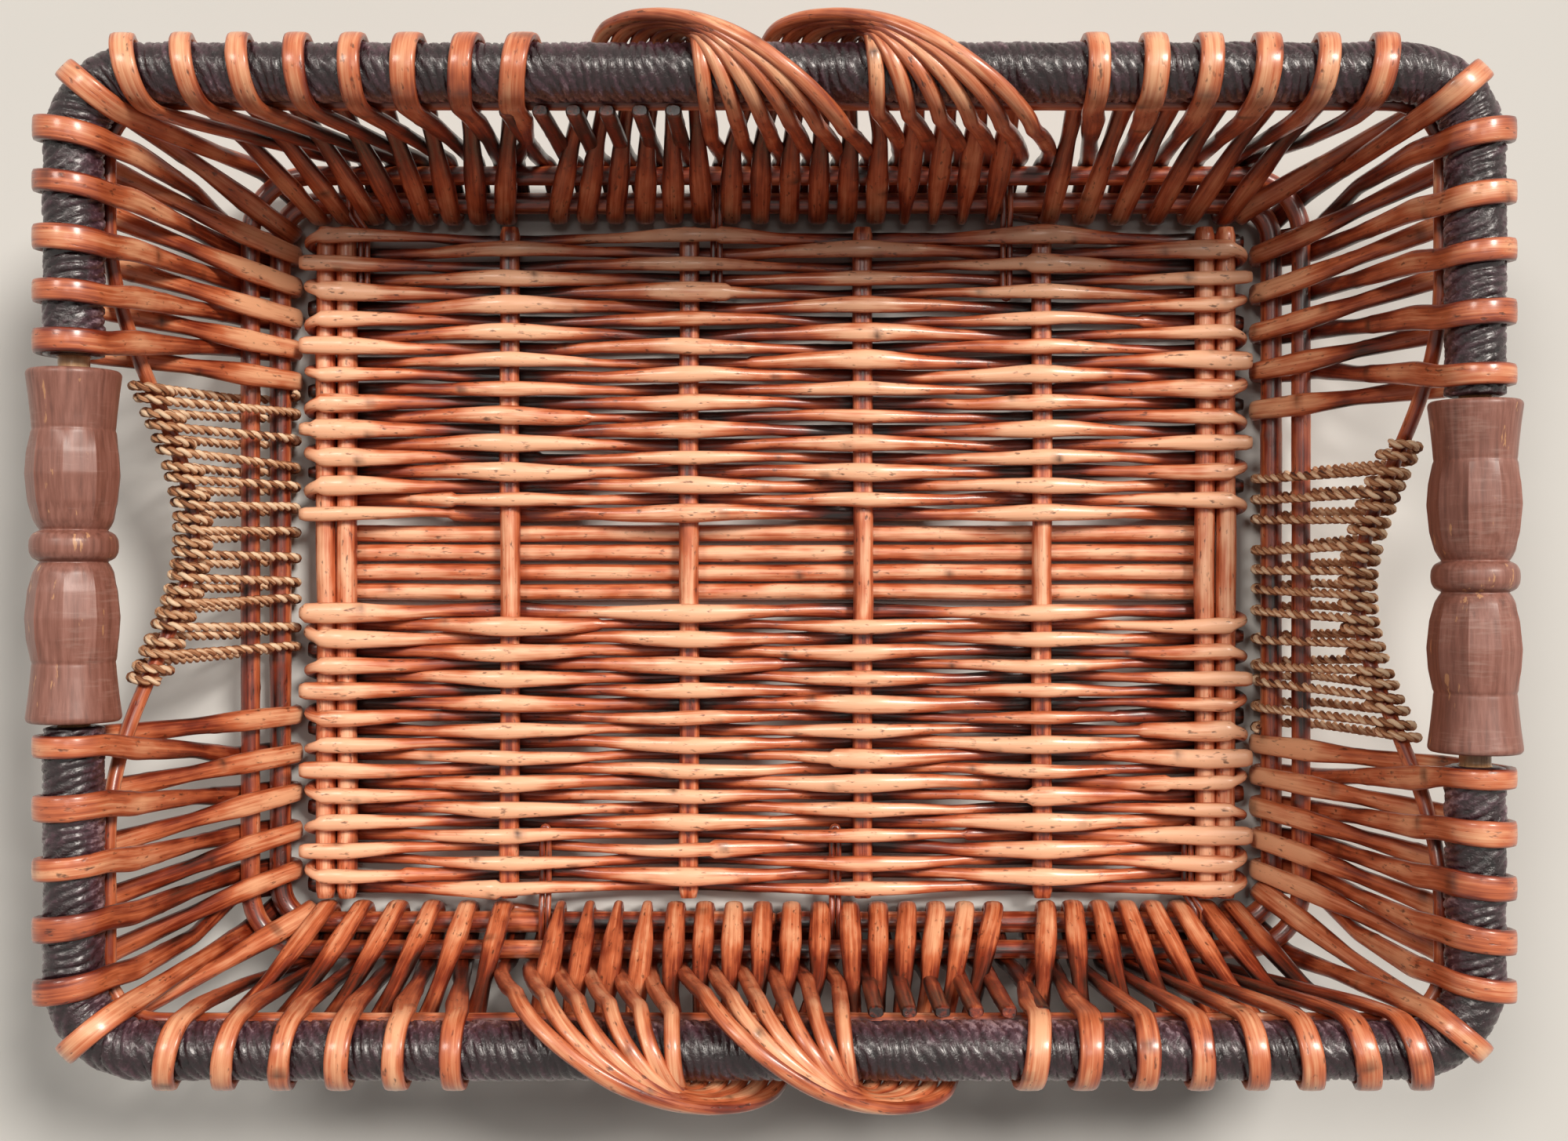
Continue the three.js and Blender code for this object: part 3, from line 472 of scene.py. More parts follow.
def turned_finish():
    material, tree, shader = start_finish("stained_turned_wood")
    place = add_node(tree, "ShaderNodeTexCoord", {}).outputs["Object"]
    # Grain of 1.6 by 45 mm, scuffs of 9 by 1.1 mm, worn places of about 25 mm and chips of 4 by 17 mm.
    noises = []
    patterns = ((1.6, 45, 1.6), 4, 0.6), ((9, 1.1, 9), 3, 0.6), ((26, 22, 26), 3, 0.5), ((4, 17, 4), 4, 0.6)
    for size, detail, rough in patterns:
        at = add_node(tree, "ShaderNodeMapping", {"Vector": place, "Scale": per_mm(*size)}).outputs[0]
        links = {"Vector": at, "Scale": 1, "Detail": detail, "Roughness": rough}
        noises.append(add_node(tree, "ShaderNodeTexNoise", links).outputs["Fac"])
    grain, scuff, wear, chip = noises
    wood = add_node(tree, "ShaderNodeValToRGB", {"Fac": grain}, stops=TURNED_STOPS).outputs["Color"]
    worn = add_node(tree, "ShaderNodeMath", {0: scuff, 1: wear}, operation="MULTIPLY").outputs[0]
    links = {"Value": worn, "From Min": 0.3, "From Max": 0.46, "To Min": 0, "To Max": 0.35}
    rubbed = add_node(tree, "ShaderNodeMapRange", links).outputs[0]
    links = {0: rubbed, MIX_FIRST: wood, MIX_SECOND: colour("#b7968a")}
    scuffed = add_node(tree, "ShaderNodeMix", links, data_type="RGBA").outputs[MIX_RESULT]
    links = {"Value": chip, "From Min": 0.65, "From Max": 0.68, "To Min": 0, "To Max": 0.8}
    chipped = add_node(tree, "ShaderNodeMapRange", links).outputs[0]
    links = {0: chipped, MIX_FIRST: scuffed, MIX_SECOND: colour("#c8946a")}
    shown = add_node(tree, "ShaderNodeMix", links, data_type="RGBA").outputs[MIX_RESULT]
    links = {"Value": wear, "To Min": 0.3, "To Max": 0.55}
    gloss = add_node(tree, "ShaderNodeMapRange", links).outputs[0]
    links = {"Height": grain, "Strength": 0.4, "Distance": 0.2 * MM}
    bump = add_node(tree, "ShaderNodeBump", links).outputs[0]
    for socket, source in (("Base Color", shown), ("Roughness", gloss), ("Normal", bump)):
        tree.links.new(source, shader.inputs[socket])
    shader.inputs["Coat Weight"].default_value = 0.15
    shader.inputs["Coat Roughness"].default_value = 0.35
    return material


turned_wood = turned_finish()
RATTAN_STOPS = [(0.05, "#8d6440"), (0.4, "#c09368"), (0.7, "#d9b48a"), (0.95, "#efd6b4")]
rattan = willow_finish("bare_rattan", RATTAN_STOPS, "#5a3a20", 0.6)
print("finishes:", [material.name for material in bpy.data.materials])

# %% [markdown]
# The rim is a rattan pole in two bent halves. Each half ends in whittled tenons that meet inside the
# handles. A single rod whose width steps down at the shoulders makes both the pole and its tenons, so
# the bare wood that shows beside each handle is the same piece. Its shoulders stand back a little, so that
# the handles don't rub on them when they turn.

# %% Rim pole
UP = (0, 0, 1)
TENON_R = 5
TENON_SHOW = 3.5
HANDLE_PLAY = 0.5
POLE_STEP = 1.5
POLE_SETBACK = 1.2
SHOULDER_LEFT = HANDLE_SHIFT + HANDLE_LENGTH / 2 + TENON_SHOW
SHOULDER_RIGHT = -HANDLE_SHIFT + HANDLE_LENGTH / 2 + HANDLE_PLAY
RIM_STRAIGHT = RIM_HALF_X - RIM_CORNER
RIM_STRAIGHT_Y = RIM_HALF_Y - RIM_CORNER


def corner_arc(x, y, radius, start, z, steps=12):
    """A quarter round from one heading to the next, clockwise seen from above."""
    angles = start - np.linspace(0, math.pi / 2, steps + 1)
    return [(x + radius * math.cos(a), y + radius * math.sin(a), z) for a in angles]


def rim_half(left, right):
    """The pole's middle line from its left end round the back to its right end."""
    bends = corner_arc(-RIM_STRAIGHT, RIM_STRAIGHT_Y, RIM_CORNER, math.pi, RIM_Z)
    bends += corner_arc(RIM_STRAIGHT, RIM_STRAIGHT_Y, RIM_CORNER, math.pi / 2, RIM_Z)
    return [(-RIM_HALF_X, left, RIM_Z)] + bends + [(RIM_HALF_X, right, RIM_Z)]


def rim_pole():
    left = SHOULDER_LEFT + POLE_SETBACK
    right = SHOULDER_RIGHT + POLE_SETBACK
    tip_left = [(-RIM_HALF_X, HANDLE_SHIFT + CLEAR / 2, RIM_Z), (-RIM_HALF_X, left, RIM_Z)]
    tip_right = [(RIM_HALF_X, right, RIM_Z), (RIM_HALF_X, -HANDLE_SHIFT + CLEAR / 2, RIM_Z)]
    middle = rim_half(left + CLEAR, right + CLEAR)
    widths = [2 * TENON_R] * 2 + [2 * POLE_R] * len(middle) + [2 * TENON_R] * 2
    return resample(tip_left + middle + tip_right, widths, POLE_STEP)


poles = []
for node, turn in (("rim_pole_back", 1), ("rim_pole_front", -1)):
    piece = start_piece()
    path, width = rim_pole()
    add_rod(piece, path, width[:, 0], width[:, 0], UP, tone_and_shade=0.6, sides=16, turn=turn, scarred=False)
    poles.append(finish_piece(piece, node, rattan))
print("rim poles:", triangles(*poles), "triangles")

# %% [markdown]
# The rush binding goes round the pole in tight turns, seven strands side by side. Separate coils of cord
# would need several hundred loops with ends to hide. Here the binding is one sleeve whose surface is
# ridged along a helix, so every strand stands up as a rounded ridge, with some difference between them.

# %% Rim binding
STRAND_PITCH = 3.5
BAND_STRANDS = 7
TURN_DEPTH = 0.1
PLY_DEPTH = 0.025
CREST_ROUND = 0.6
STRAND_HEIGHT = (0.95, 1.0)
STRANDS_DRAWN = 400
PHASE_SPAN = 6
BINDING_SETBACK = 1
BINDING_STEP = 0.6
BINDING_TONE = 0.33


def turn_ridges():
    """Radius of the binding as a share of its full radius, along it and round it."""
    heights = np.array([rng.uniform(*STRAND_HEIGHT) for _ in range(STRANDS_DRAWN)])
    drift = [rng.uniform(0, PHASE_SPAN) for _ in range(4)]

    def ridge(run, angle):
        # Waves of about 145, 57 and 26 mm along the rim push the strands together and apart.
        slow = 0.5 * np.sin(run / 23 + drift[0]) + 0.4 * np.sin(run / 9 + angle + drift[1])
        slow = slow + 0.25 * np.sin(run / 4.1 + 2 * angle + drift[2] + np.sin(run / 13 + drift[3]))
        phase = run / STRAND_PITCH - BAND_STRANDS * angle / (2 * math.pi) + slow
        crest = np.abs(np.sin(math.pi * phase)) ** CREST_ROUND
        ply = np.abs(np.sin(2 * math.pi * phase))
        step = heights[np.floor(phase).astype(int) % len(heights)]
        return step * (1 - TURN_DEPTH * (1 - crest) - PLY_DEPTH * (1 - ply))

    return ridge


bindings = []
for node, turn in (("rim_binding_back", 1), ("rim_binding_front", -1)):
    piece = start_piece()
    line = rim_half(SHOULDER_LEFT + BINDING_SETBACK, SHOULDER_RIGHT + BINDING_SETBACK)
    path, _ = resample(line, np.zeros(len(line)), BINDING_STEP)
    tone_and_shade = BINDING_TONE + wander(len(path), BINDING_STEP, length=60, amount=0.08)
    size = 2 * BINDING_R
    add_rod(piece, path, size, size, UP, tone_and_shade=tone_and_shade, sides=36, turn=turn, scarred=False, ridge=turn_ridges())
    bindings.append(finish_piece(piece, node, rush))
print("bindings:", triangles(*bindings), "triangles")

# %% [markdown]
# The handles were turned on a lathe, and a spin does the same: half an outline of distances and radii is
# mirrored at the bead, joined to the straight bore, and swept once round the pole's line. The rims of
# the flared ends are rounded over, as a turner leaves them. The bellies were then shaved to soft
# facets, so points there are drawn in towards the sides of a polygon.

# %% Turned handles
OUTLINE = [
    (0, 13.9), (0.5, 14.6), (1.4, 14.8), (7.5, 14), (15, 13.2), (19, 12.9),
    (19.5, 12.6), (20, 13.1), (27, 14.5), (34, 15), (43, 14.1), (49, 12.5),
    (51.6, 11), (52.4, 10.3), (52.8, 11.4), (53.6, 12.7), (55.4, 13.6), (57.5, 13.8),
]
FACETS = 9
FACET_SHARE = 0.85
BELLY_FROM = 20
BELLY_TO = 51
BELLY_BLEND = 6
BORE_R = TENON_R + CLEAR
LATHE_STEPS = 72
LATHE_STEP = 0.6
LATHE_SOFTEN = 0.35
MERGE_WITHIN = 0.001
EDGE_NEAR = 0.01


def handle_outline():
    half = HANDLE_LENGTH / 2
    side = [(along - half, radius, 0) for along, radius in OUTLINE]
    both = side + [(-along, radius, 0) for along, radius, _ in side[-2::-1]]
    curve, _ = resample(both, np.zeros(len(both)), LATHE_STEP, LATHE_SOFTEN)
    return [(-half, BORE_R)] + [(along, radius) for along, radius, _ in curve] + [(half, BORE_R)]


def turn_handle(side):
    bm = bmesh.new()
    centre = Vector((side * RIM_HALF_X, -side * HANDLE_SHIFT, RIM_Z)) * MM
    verts = [bm.verts.new(centre + Vector((radius, along, 0)) * MM) for along, radius in handle_outline()]
    edges = [bm.edges.new(pair) for pair in zip(verts, verts[1:] + verts[:1])]
    whole = 2 * math.pi
    line = verts + edges
    bmesh.ops.spin(
        bm, geom=line, cent=centre, axis=(0, 1, 0), angle=whole, steps=LATHE_STEPS, use_merge=True
    )
    bmesh.ops.remove_doubles(bm, verts=bm.verts[:], dist=MERGE_WITHIN * MM)
    bmesh.ops.recalc_face_normals(bm, faces=bm.faces[:])
    facet = whole / FACETS
    for vert in bm.verts:
        out = (vert.co - centre) * Vector((1, 0, 1))
        from_end = HANDLE_LENGTH / 2 - abs(vert.co.y - centre.y) / MM
        inside = min(from_end - BELLY_FROM, BELLY_TO - from_end) / BELLY_BLEND
        if inside > 0:
            angle = math.atan2(out.z, out.x) % facet - facet / 2
            flat = math.cos(facet / 2) / math.cos(angle)
            vert.co += out * FACET_SHARE * min(inside, 1) * (flat - 1)
            at_edge = abs(abs(angle) - facet / 2) < EDGE_NEAR
            # Between two facets, the edges that run along the handle stay sharp.
            for edge in vert.link_edges if at_edge else ():
                along = edge.verts[1].co - edge.verts[0].co
                edge.smooth = edge.smooth and abs(along.y) < 0.5 * along.length
    return bm


handles = [
    place_piece(turn_handle(-1), "left_handle", turned_wood, "left_handle"),
    place_piece(turn_handle(1), "right_handle", turned_wood, "right_handle"),
]
print("handles:", triangles(*handles), "triangles")

# %% [markdown]
# Two bent rods run round the foot of the walls, and a thin hoop lies in the V of the wall rods under the
# rim. The hoop dips at each handle to leave a hand hole. Each is one rod round to its own end, in the
# middle of the front, and a slow drift in width keeps it from looking like pipe.

# %% Base ring and hoop
HOOP_R = 2.5
HOOP_INSET = 7
HOOP_Z = RIM_Z - math.sqrt((BINDING_R + HOOP_R + CLEAR) ** 2 - HOOP_INSET**2)
ARCH_DROP = 39.5
ARCH_INSET = 14.5
ARCH_EASE = 1.4
ARCH_HALF = 105
ARCH_MID = 11
ARCH_POINTS = 41
BENT_STEP = 2.5
BENT_SOFTEN = 2


def round_path(half_x, half_y, bend, z, left=(), right=()):
    """A rounded rectangle from the middle of the front round to itself, with points added at its ends."""
    x = half_x - bend
    y = half_y - bend
    joint = CLEAR / 2
    path = [(-joint, -half_y, z)] + corner_arc(-x, -y, bend, -math.pi / 2, z) + list(left)
    path += corner_arc(-x, y, bend, math.pi, z) + corner_arc(x, y, bend, math.pi / 2, z) + list(right)
    return path + corner_arc(x, -y, bend, 0, z) + [(joint, -half_y, z)]


def arch_at(along):
    """How far out and how high the hoop lies at a place along the left wall."""
    share = min(abs(along - ARCH_MID) / ARCH_HALF, 1)
    dip = math.cos(share * math.pi / 2) ** 2
    return RIM_HALF_X - HOOP_INSET - ARCH_INSET * dip**ARCH_EASE, HOOP_Z - ARCH_DROP * dip


def arch_path(side):
    places = ARCH_MID + np.linspace(-ARCH_HALF, ARCH_HALF, ARCH_POINTS)
    spots = [(along, *arch_at(along)) for along in places]
    return [(side * n, -side * along, z) for along, n, z in spots]


def bent_rod(node, path, radius, tone_and_shade):
    piece = start_piece()
    path, _ = resample(path, np.zeros(len(path)), BENT_STEP, BENT_SOFTEN)
    width = 2 * radius * (1 + wander(len(path), BENT_STEP, length=90, amount=0.03))
    tones = tone_and_shade + wander(len(path), BENT_STEP, length=150, amount=0.1)
    add_rod(piece, path, width, width, UP, tones, sides=14)
    return finish_piece(piece, node, willow)


outer_x = RING_HALF_X + OUTER_RING_STEP
outer_y = RING_HALF_Y + OUTER_RING_STEP
hoop_x = RIM_HALF_X - HOOP_INSET
hoop_y = RIM_HALF_Y - HOOP_INSET
hoop_path = round_path(hoop_x, hoop_y, RIM_CORNER - HOOP_INSET, HOOP_Z, arch_path(-1), arch_path(1))
inner_path = round_path(RING_HALF_X, RING_HALF_Y, RING_CORNER, RING_Z)
outer_path = round_path(outer_x, outer_y, RING_CORNER + OUTER_RING_STEP, OUTER_RING_Z)
rings = [
    bent_rod("base_ring_inner", inner_path, RING_R, tone_and_shade=0.55),
    bent_rod("base_ring_outer", outer_path, OUTER_RING_R, tone_and_shade=0.55),
    bent_rod("under_rim_hoop", hoop_path, HOOP_R, tone_and_shade=0.65),
]
print("rings and hoop:", triangles(*rings), "triangles")

# %% [markdown]
# Each wall rod runs in a figure of eight: up from inside the base ring to outside the rim, over the rim,
# and down from inside the rim to outside the ring. Seen along the wall this is a belt round three
# circles, so its straight runs touch the circles and its bends are arcs. The maker soaks the rods, and
# they flatten where they bend over the rim.

# %% The belt of one wall rod
LEG_THICK = 4.2
LOOP_THICK = 2.8
BEND_SPARE = 0.3
SHIN_SHARE = 0.22
NECK_SHARE = 0.2
FOOT_POINTS = 9
LOOP_POINTS = 18
SHOULDER_POINTS = 5


def heading(a, b):
    """Direction of the straight run from circle a to circle b, each as out, height, radius and turn."""
    line = math.atan2(b[1] - a[1], b[0] - a[0])
    return line - math.asin((b[3] * b[2] - a[3] * a[2]) / math.hypot(b[0] - a[0], b[1] - a[1]))


def wrap(circle, arriving, leaving, steps, more=0):
    """Points of the run round one circle, with as many more whole turns as are asked for."""
    n, z, radius, turn = circle
    sweep = ((leaving - arriving) * turn) % (2 * math.pi) + more * 2 * math.pi
    angles = arriving - turn * math.pi / 2 + turn * np.linspace(0, sweep, steps)
    return [(n + radius * math.cos(a), z + radius * math.sin(a)) for a in angles]


def part_way(start, end, share):
    return (start[0] + (end[0] - start[0]) * share, start[1] + (end[1] - start[1]) * share)


def figure_of_eight(ring_out, rim_out, lift=0.0, thick=LOOP_THICK, rise=0.0):
    """Points of a wall rod's run, as distance out of the wall and height."""
    leg = CLEAR + BEND_SPARE + LEG_THICK / 2
    inner = (ring_out, RING_Z, RING_R + leg, -1)
    outer = (ring_out + OUTER_RING_STEP, OUTER_RING_Z, OUTER_RING_R + leg, -1)
    rim = (rim_out, RIM_Z, BINDING_R + BEND_SPARE + thick / 2 + lift, 1)
    up = heading(inner, rim)
    down = heading(rim, outer)
    under = heading(outer, inner)
    foot = wrap(inner, under, up, FOOT_POINTS)
    loop = wrap(rim, up, down, LOOP_POINTS)
    shoulder = wrap(outer, down, under, SHOULDER_POINTS)
    lean_up = (loop[0][0] - foot[-1][0]) / (loop[0][1] - foot[-1][1])
    lean_down = (loop[-1][0] - shoulder[0][0]) / (loop[-1][1] - shoulder[0][1])
    apart = shoulder[0][0] - foot[-1][0] + foot[-1][1] * lean_up - shoulder[0][1] * lean_down
    z = apart / (lean_up - lean_down) + rise
    return {
        "foot": foot,
        "loop": loop,
        "shoulder": shoulder,
        "rising": (foot[-1][0] + (z - foot[-1][1]) * lean_up, z),
        "falling": (shoulder[0][0] + (z - shoulder[0][1]) * lean_down, z),
        "shin": part_way(foot[-1], loop[0], SHIN_SHARE),
        "neck": part_way(loop[0], foot[-1], NECK_SHARE),
        "throat": part_way(loop[-1], shoulder[0], NECK_SHARE),
    }


class Wall:
    """A wall's own directions, along it and out of it."""

    def __init__(self, along, out, ring_out, rim_out, rim_straight):
        self.along = np.array((*along, 0.0))
        self.out = np.array((*out, 0.0))
        self.ring_out = ring_out
        self.rim_out = rim_out
        self.rim_straight = rim_straight

    def place(self, u, spot):
        return self.along * u + self.out * spot[0] + np.array((0, 0, spot[1]))

    def belt(self, u):
        """The figure of eight at a place along the wall. Where the rim bends in, its loop follows."""
        tilt = math.asin(max(abs(u) - self.rim_straight, 0) / RIM_CORNER)
        bend_in = RIM_CORNER * (1 - math.cos(tilt))
        return figure_of_eight(self.ring_out, self.rim_out - bend_in, BINDING_R * (1 / math.cos(tilt) - 1))


BACK = Wall((1, 0), (0, 1), RING_HALF_Y, RIM_HALF_Y, RIM_STRAIGHT)
LEFT = Wall((0, 1), (-1, 0), RING_HALF_X, RIM_HALF_X, RIM_STRAIGHT_Y)
sample = figure_of_eight(BACK.ring_out, BACK.rim_out)
print("legs cross at", round(sample["rising"][1], 1), "mm above the table")

# %% [markdown]
# A plain panel is one long rod that goes through the figure of eight again and again, a step along the
# wall each time. Its loops on the rim are wide, flat and lighter, with painted light where they catch the
# light and with wear, and next to a corner they follow the rim's bend. Its legs are narrower and darker,
# with painted shade where they cross behind each other and where they pass round the outer ring. At the
# short ends painted light makes the legs nearly as light as the loops, and painted shade darkens those
# loops a little. Each stretch is a list of points with a width, a thickness and a tone, and resampling
# blends them.

# %% Plain panels
LOOP_WIDE = 7.8
LEG_WIDE = 8.3
FOOT_WIDE = 7.4
CROSS_WIDE = 5.7
# Loops are lighter: painted light where they catch the light, and wear.
LOOP_TONE = 0.78
LOOP_SLANT = 0.14
LEG_TONE = 0.68
# Painted shade where legs cross behind each other, pass round the outer ring and go under the feet.
CROSS_PAINTED_SHADE_TONE = 0.3
FOOT_TONE = 0.77
LOOP_SQUARE = 3.6
LEG_SQUARE = 2.5
LEG_LEAN = 0.4
LOOP_STRAY = 0.9
LOOP_SIZE = (0.86, 1.12)
PANEL_SHADE = 0.12
FOOT_SPLIT = 4
ROD_STEP = 1.8
ROD_SOFTEN = 2.2


class Run:
    """A rod's points with its width, thickness, tone and squareness at each."""

    def __init__(self, wall):
        self.wall = wall
        self.points = []
        self.values = []

    def add(self, u, spots, wide, thick, tone_and_shade, square=LEG_SQUARE):
        places = np.broadcast_to(u, len(spots))
        self.points += [self.wall.place(at, spot) for at, spot in zip(places, spots)]
        self.values += [(wide, thick, tone_and_shade, square)] * len(spots)

    def roll(self, piece, turn, step=ROD_STEP, soften=ROD_SOFTEN, sides=12):
        path, values = resample(self.points, self.values, step, soften)
        wide, thick, tone_and_shade, square = values.T
        wide = wide * (1 + wander(len(path), step, length=70, amount=0.05))
        add_rod(piece, path, wide, thick, self.wall.along, tone_and_shade, sides, turn, square=square)


def plain_units(run, feet, loops, count, end_painted_light=0.0):
    """Adds the units of a plain panel to a run, between its first and last feet and loops."""
    pitch = (feet[1] - feet[0]) / (count - 1)
    spread = (loops[1] - loops[0]) / (count - 1)
    for i in range(count):
        foot = feet[0] + pitch * i
        loop = loops[0] + spread * i + rng.uniform(-LOOP_STRAY, LOOP_STRAY)
        eight = run.wall.belt(loop)
        rising = foot + (loop - foot) * LEG_LEAN
        falling = rising + (pitch + (spread - pitch) * LEG_LEAN) / 2
        after = foot + pitch * (0.5 if i == count - 1 else 1)
        shade = rng.uniform(-PANEL_SHADE, PANEL_SHADE)
        # Painted light lifts the legs at the short ends, and painted shade darkens their loops by as much.
        leg_shade = shade + end_painted_light
        wide = LOOP_WIDE * rng.uniform(*LOOP_SIZE)
        shin = foot + (rising - foot) * 2 * SHIN_SHARE
        neck = loop + (rising - loop) * 2 * NECK_SHARE
        throat = loop + (falling - loop) * 2 * NECK_SHARE
        run.add(foot, eight["foot"][FOOT_SPLIT:], FOOT_WIDE, LEG_THICK, FOOT_TONE + leg_shade)
        run.add(shin, [eight["shin"]], LEG_WIDE, LEG_THICK, FOOT_TONE + leg_shade)
        # Painted shade at the crossings and round the outer ring.
        run.add(rising, [eight["rising"]], CROSS_WIDE, LEG_THICK, CROSS_PAINTED_SHADE_TONE + leg_shade)
        run.add(neck, [eight["neck"]], LEG_WIDE, LEG_THICK, LEG_TONE + leg_shade)
        over = loop + (foot - loop) * LOOP_SLANT * np.linspace(-1, 1, len(eight["loop"]))
        run.add(over, eight["loop"], wide, LOOP_THICK, LOOP_TONE + shade - end_painted_light, LOOP_SQUARE)
        run.add(throat, [eight["throat"]], LEG_WIDE, LEG_THICK, LEG_TONE + leg_shade)
        run.add(falling, [eight["falling"]], CROSS_WIDE, LEG_THICK, CROSS_PAINTED_SHADE_TONE + leg_shade)
        under = eight["shoulder"] + eight["foot"][:FOOT_SPLIT]
        run.add(after, under, FOOT_WIDE, LEG_THICK, CROSS_PAINTED_SHADE_TONE + leg_shade)


def plain_panel(node, wall, feet, loops, count, end_painted_light, turn):
    piece = start_piece()
    run = Run(wall)
    plain_units(run, feet, loops, count, end_painted_light)
    run.roll(piece, turn)
    return finish_piece(piece, node, willow_with_painted_shade)


# Places of the first and last feet and loops, from the middle of their wall.
RING_STRAIGHT = RING_HALF_X - RING_CORNER
RING_STRAIGHT_Y = RING_HALF_Y - RING_CORNER
SHORT_FOOT = RING_STRAIGHT_Y - 6
SHORT_LOOP = RIM_STRAIGHT_Y + 3
LEFT_FEET = (-RING_STRAIGHT + 1, -103)
LEFT_LOOPS = (-RIM_STRAIGHT - 3, -84)
BACK_FEET = (69, SHORT_FOOT)
BACK_LOOPS = (71, SHORT_LOOP)
FRONT_FEET = (-58, -SHORT_FOOT)
FRONT_LOOPS = (-61, -SHORT_LOOP)
LEFT_COUNT = 8
SHORT_COUNT = 5
# Painted light on the legs of the short-end panels, and painted shade on their loops.
BACK_END_PAINTED_LIGHT = 0.18
FRONT_END_PAINTED_LIGHT = 0.1
panels = []
for names, wall, feet, loops, count, end_painted_light in (
    (("back_left_lacing", "front_right_lacing"), BACK, LEFT_FEET, LEFT_LOOPS, LEFT_COUNT, 0),
    (("left_back_lacing", "right_front_lacing"), LEFT, BACK_FEET, BACK_LOOPS, SHORT_COUNT, BACK_END_PAINTED_LIGHT),
    (("left_front_lacing", "right_back_lacing"), LEFT, FRONT_FEET, FRONT_LOOPS, SHORT_COUNT, FRONT_END_PAINTED_LIGHT),
):
    for node, turn in zip(names, (1, -1)):
        panels.append(plain_panel(node, wall, feet, loops, count, end_painted_light, turn))
print("plain panels:", triangles(*panels), "triangles")

# %% [markdown]
# A scallop is a fan of six rods that sweep sideways as they cross the rim. They climb the outside at one
# end of the fan, nest against each other over the rim, and spread out again down the inside. Each rod
# keeps the same figure of eight, but its place along the wall changes over the loop, and each lies a
# little prouder than the one before. The rods of the first scallop start as stubs that come up between
# the legs from under the ring.

# %% Scallops
SCALLOP_RODS = 6
STUB_SHORT = 0.03
SCALLOP_WIDE = 5.4
SCALLOP_THICK = 4.4
SCALLOP_LIFT = 1.15
SCALLOP_RISE = 4
SCALLOP_TONE = 0.8
SCALLOP_SOFTEN = 3.5
ROD_SHADE = 0.1
SHOULDER_SHIFT = 4
TUCK_SPLIT = 3
DROP_STEPS = 6
DROP_EASE = 0.8
SWEEP_EASE = 1.3
FOOT_PITCH = 11
OUTSIDE_PITCH = -6.2
FIRST_FOOT = -28
SECOND_FOOT = FIRST_FOOT + SCALLOP_RODS * FOOT_PITCH


def scallop(node, first_foot, outside, inside, inside_pitch, lean, stubs, turn):
    piece = start_piece()
    plain = figure_of_eight(BACK.ring_out, BACK.rim_out)
    for i in range(SCALLOP_RODS):
        eight = figure_of_eight(BACK.ring_out, BACK.rim_out, SCALLOP_LIFT * i, SCALLOP_THICK, SCALLOP_RISE)
        foot = first_foot - FOOT_PITCH * i
        back_foot = first_foot + FOOT_PITCH * (i + 0.5)
        share = np.sin(np.linspace(0, math.pi / 2, len(eight["loop"]))) ** SWEEP_EASE
        start = outside + OUTSIDE_PITCH * i
        sweep = start + (inside + inside_pitch * i - start) * share
        shade = rng.uniform(-ROD_SHADE, ROD_SHADE)
        down = np.linspace(0, 1, DROP_STEPS + 1)[1:]
        drop = [part_way(eight["loop"][-1], eight["falling"], k) for k in down]
        drop_along = sweep[-1] + (back_foot - sweep[-1]) * down**DROP_EASE
        shin = foot + (start - foot) * lean / 2
        rising = foot + (start - foot) * lean
        run = Run(BACK)
        if stubs:
            stub = foot - FOOT_PITCH / 2
            tip = part_way(plain["loop"][-1], plain["shoulder"][0], STUB_SHORT)
            run.add(stub, [tip, plain["falling"]], CROSS_WIDE, LEG_THICK, CROSS_PAINTED_SHADE_TONE + shade)
            under = plain["shoulder"] + plain["foot"][:TUCK_SPLIT]
            run.add(np.linspace(stub, foot, len(under)), under, FOOT_WIDE, LEG_THICK, CROSS_PAINTED_SHADE_TONE + shade)
        run.add(foot, eight["foot"][TUCK_SPLIT:], FOOT_WIDE, LEG_THICK, FOOT_TONE + shade)
        run.add(shin, [eight["shin"]], LEG_WIDE, LEG_THICK, FOOT_TONE + shade)
        run.add(rising, [eight["rising"]], CROSS_WIDE, LEG_THICK, CROSS_PAINTED_SHADE_TONE + shade)
        run.add(sweep, eight["loop"], SCALLOP_WIDE, SCALLOP_THICK, SCALLOP_TONE + shade)
        run.add(drop_along, drop, CROSS_WIDE, LEG_THICK, LEG_TONE + shade)
        under = eight["shoulder"] + eight["foot"][:TUCK_SPLIT]
        tuck = back_foot + SHOULDER_SHIFT * np.linspace(1, 0, len(under))
        run.add(tuck, under, FOOT_WIDE, LEG_THICK, CROSS_PAINTED_SHADE_TONE + shade)
        run.roll(piece, turn, soften=SCALLOP_SOFTEN)
    return finish_piece(piece, node, willow_with_painted_shade)


# First foot, first place over the rim outside and inside, pitch inside, lean of the legs, and stubs or not.
FIRST_FAN = (FIRST_FOOT, -27, -22, 9, LEG_LEAN, True)
SECOND_FAN = (SECOND_FOOT, 30, 33.5, 10.3, 0.1, False)
scallops = []
for names, fan in (
    (("back_left_scallop", "front_right_scallop"), FIRST_FAN),
    (("back_right_scallop", "front_left_scallop"), SECOND_FAN),
):
    for node, turn in zip(names, (1, -1)):
        scallops.append(scallop(node, *fan, turn))
print("scallops:", triangles(*scallops), "triangles")

# %% [markdown]
# Between the second scallop and the corner, four filling legs climb to the outside of the rim and turn
# down again under the scallop's rods. The same rod then runs on as a plain panel of six loops.

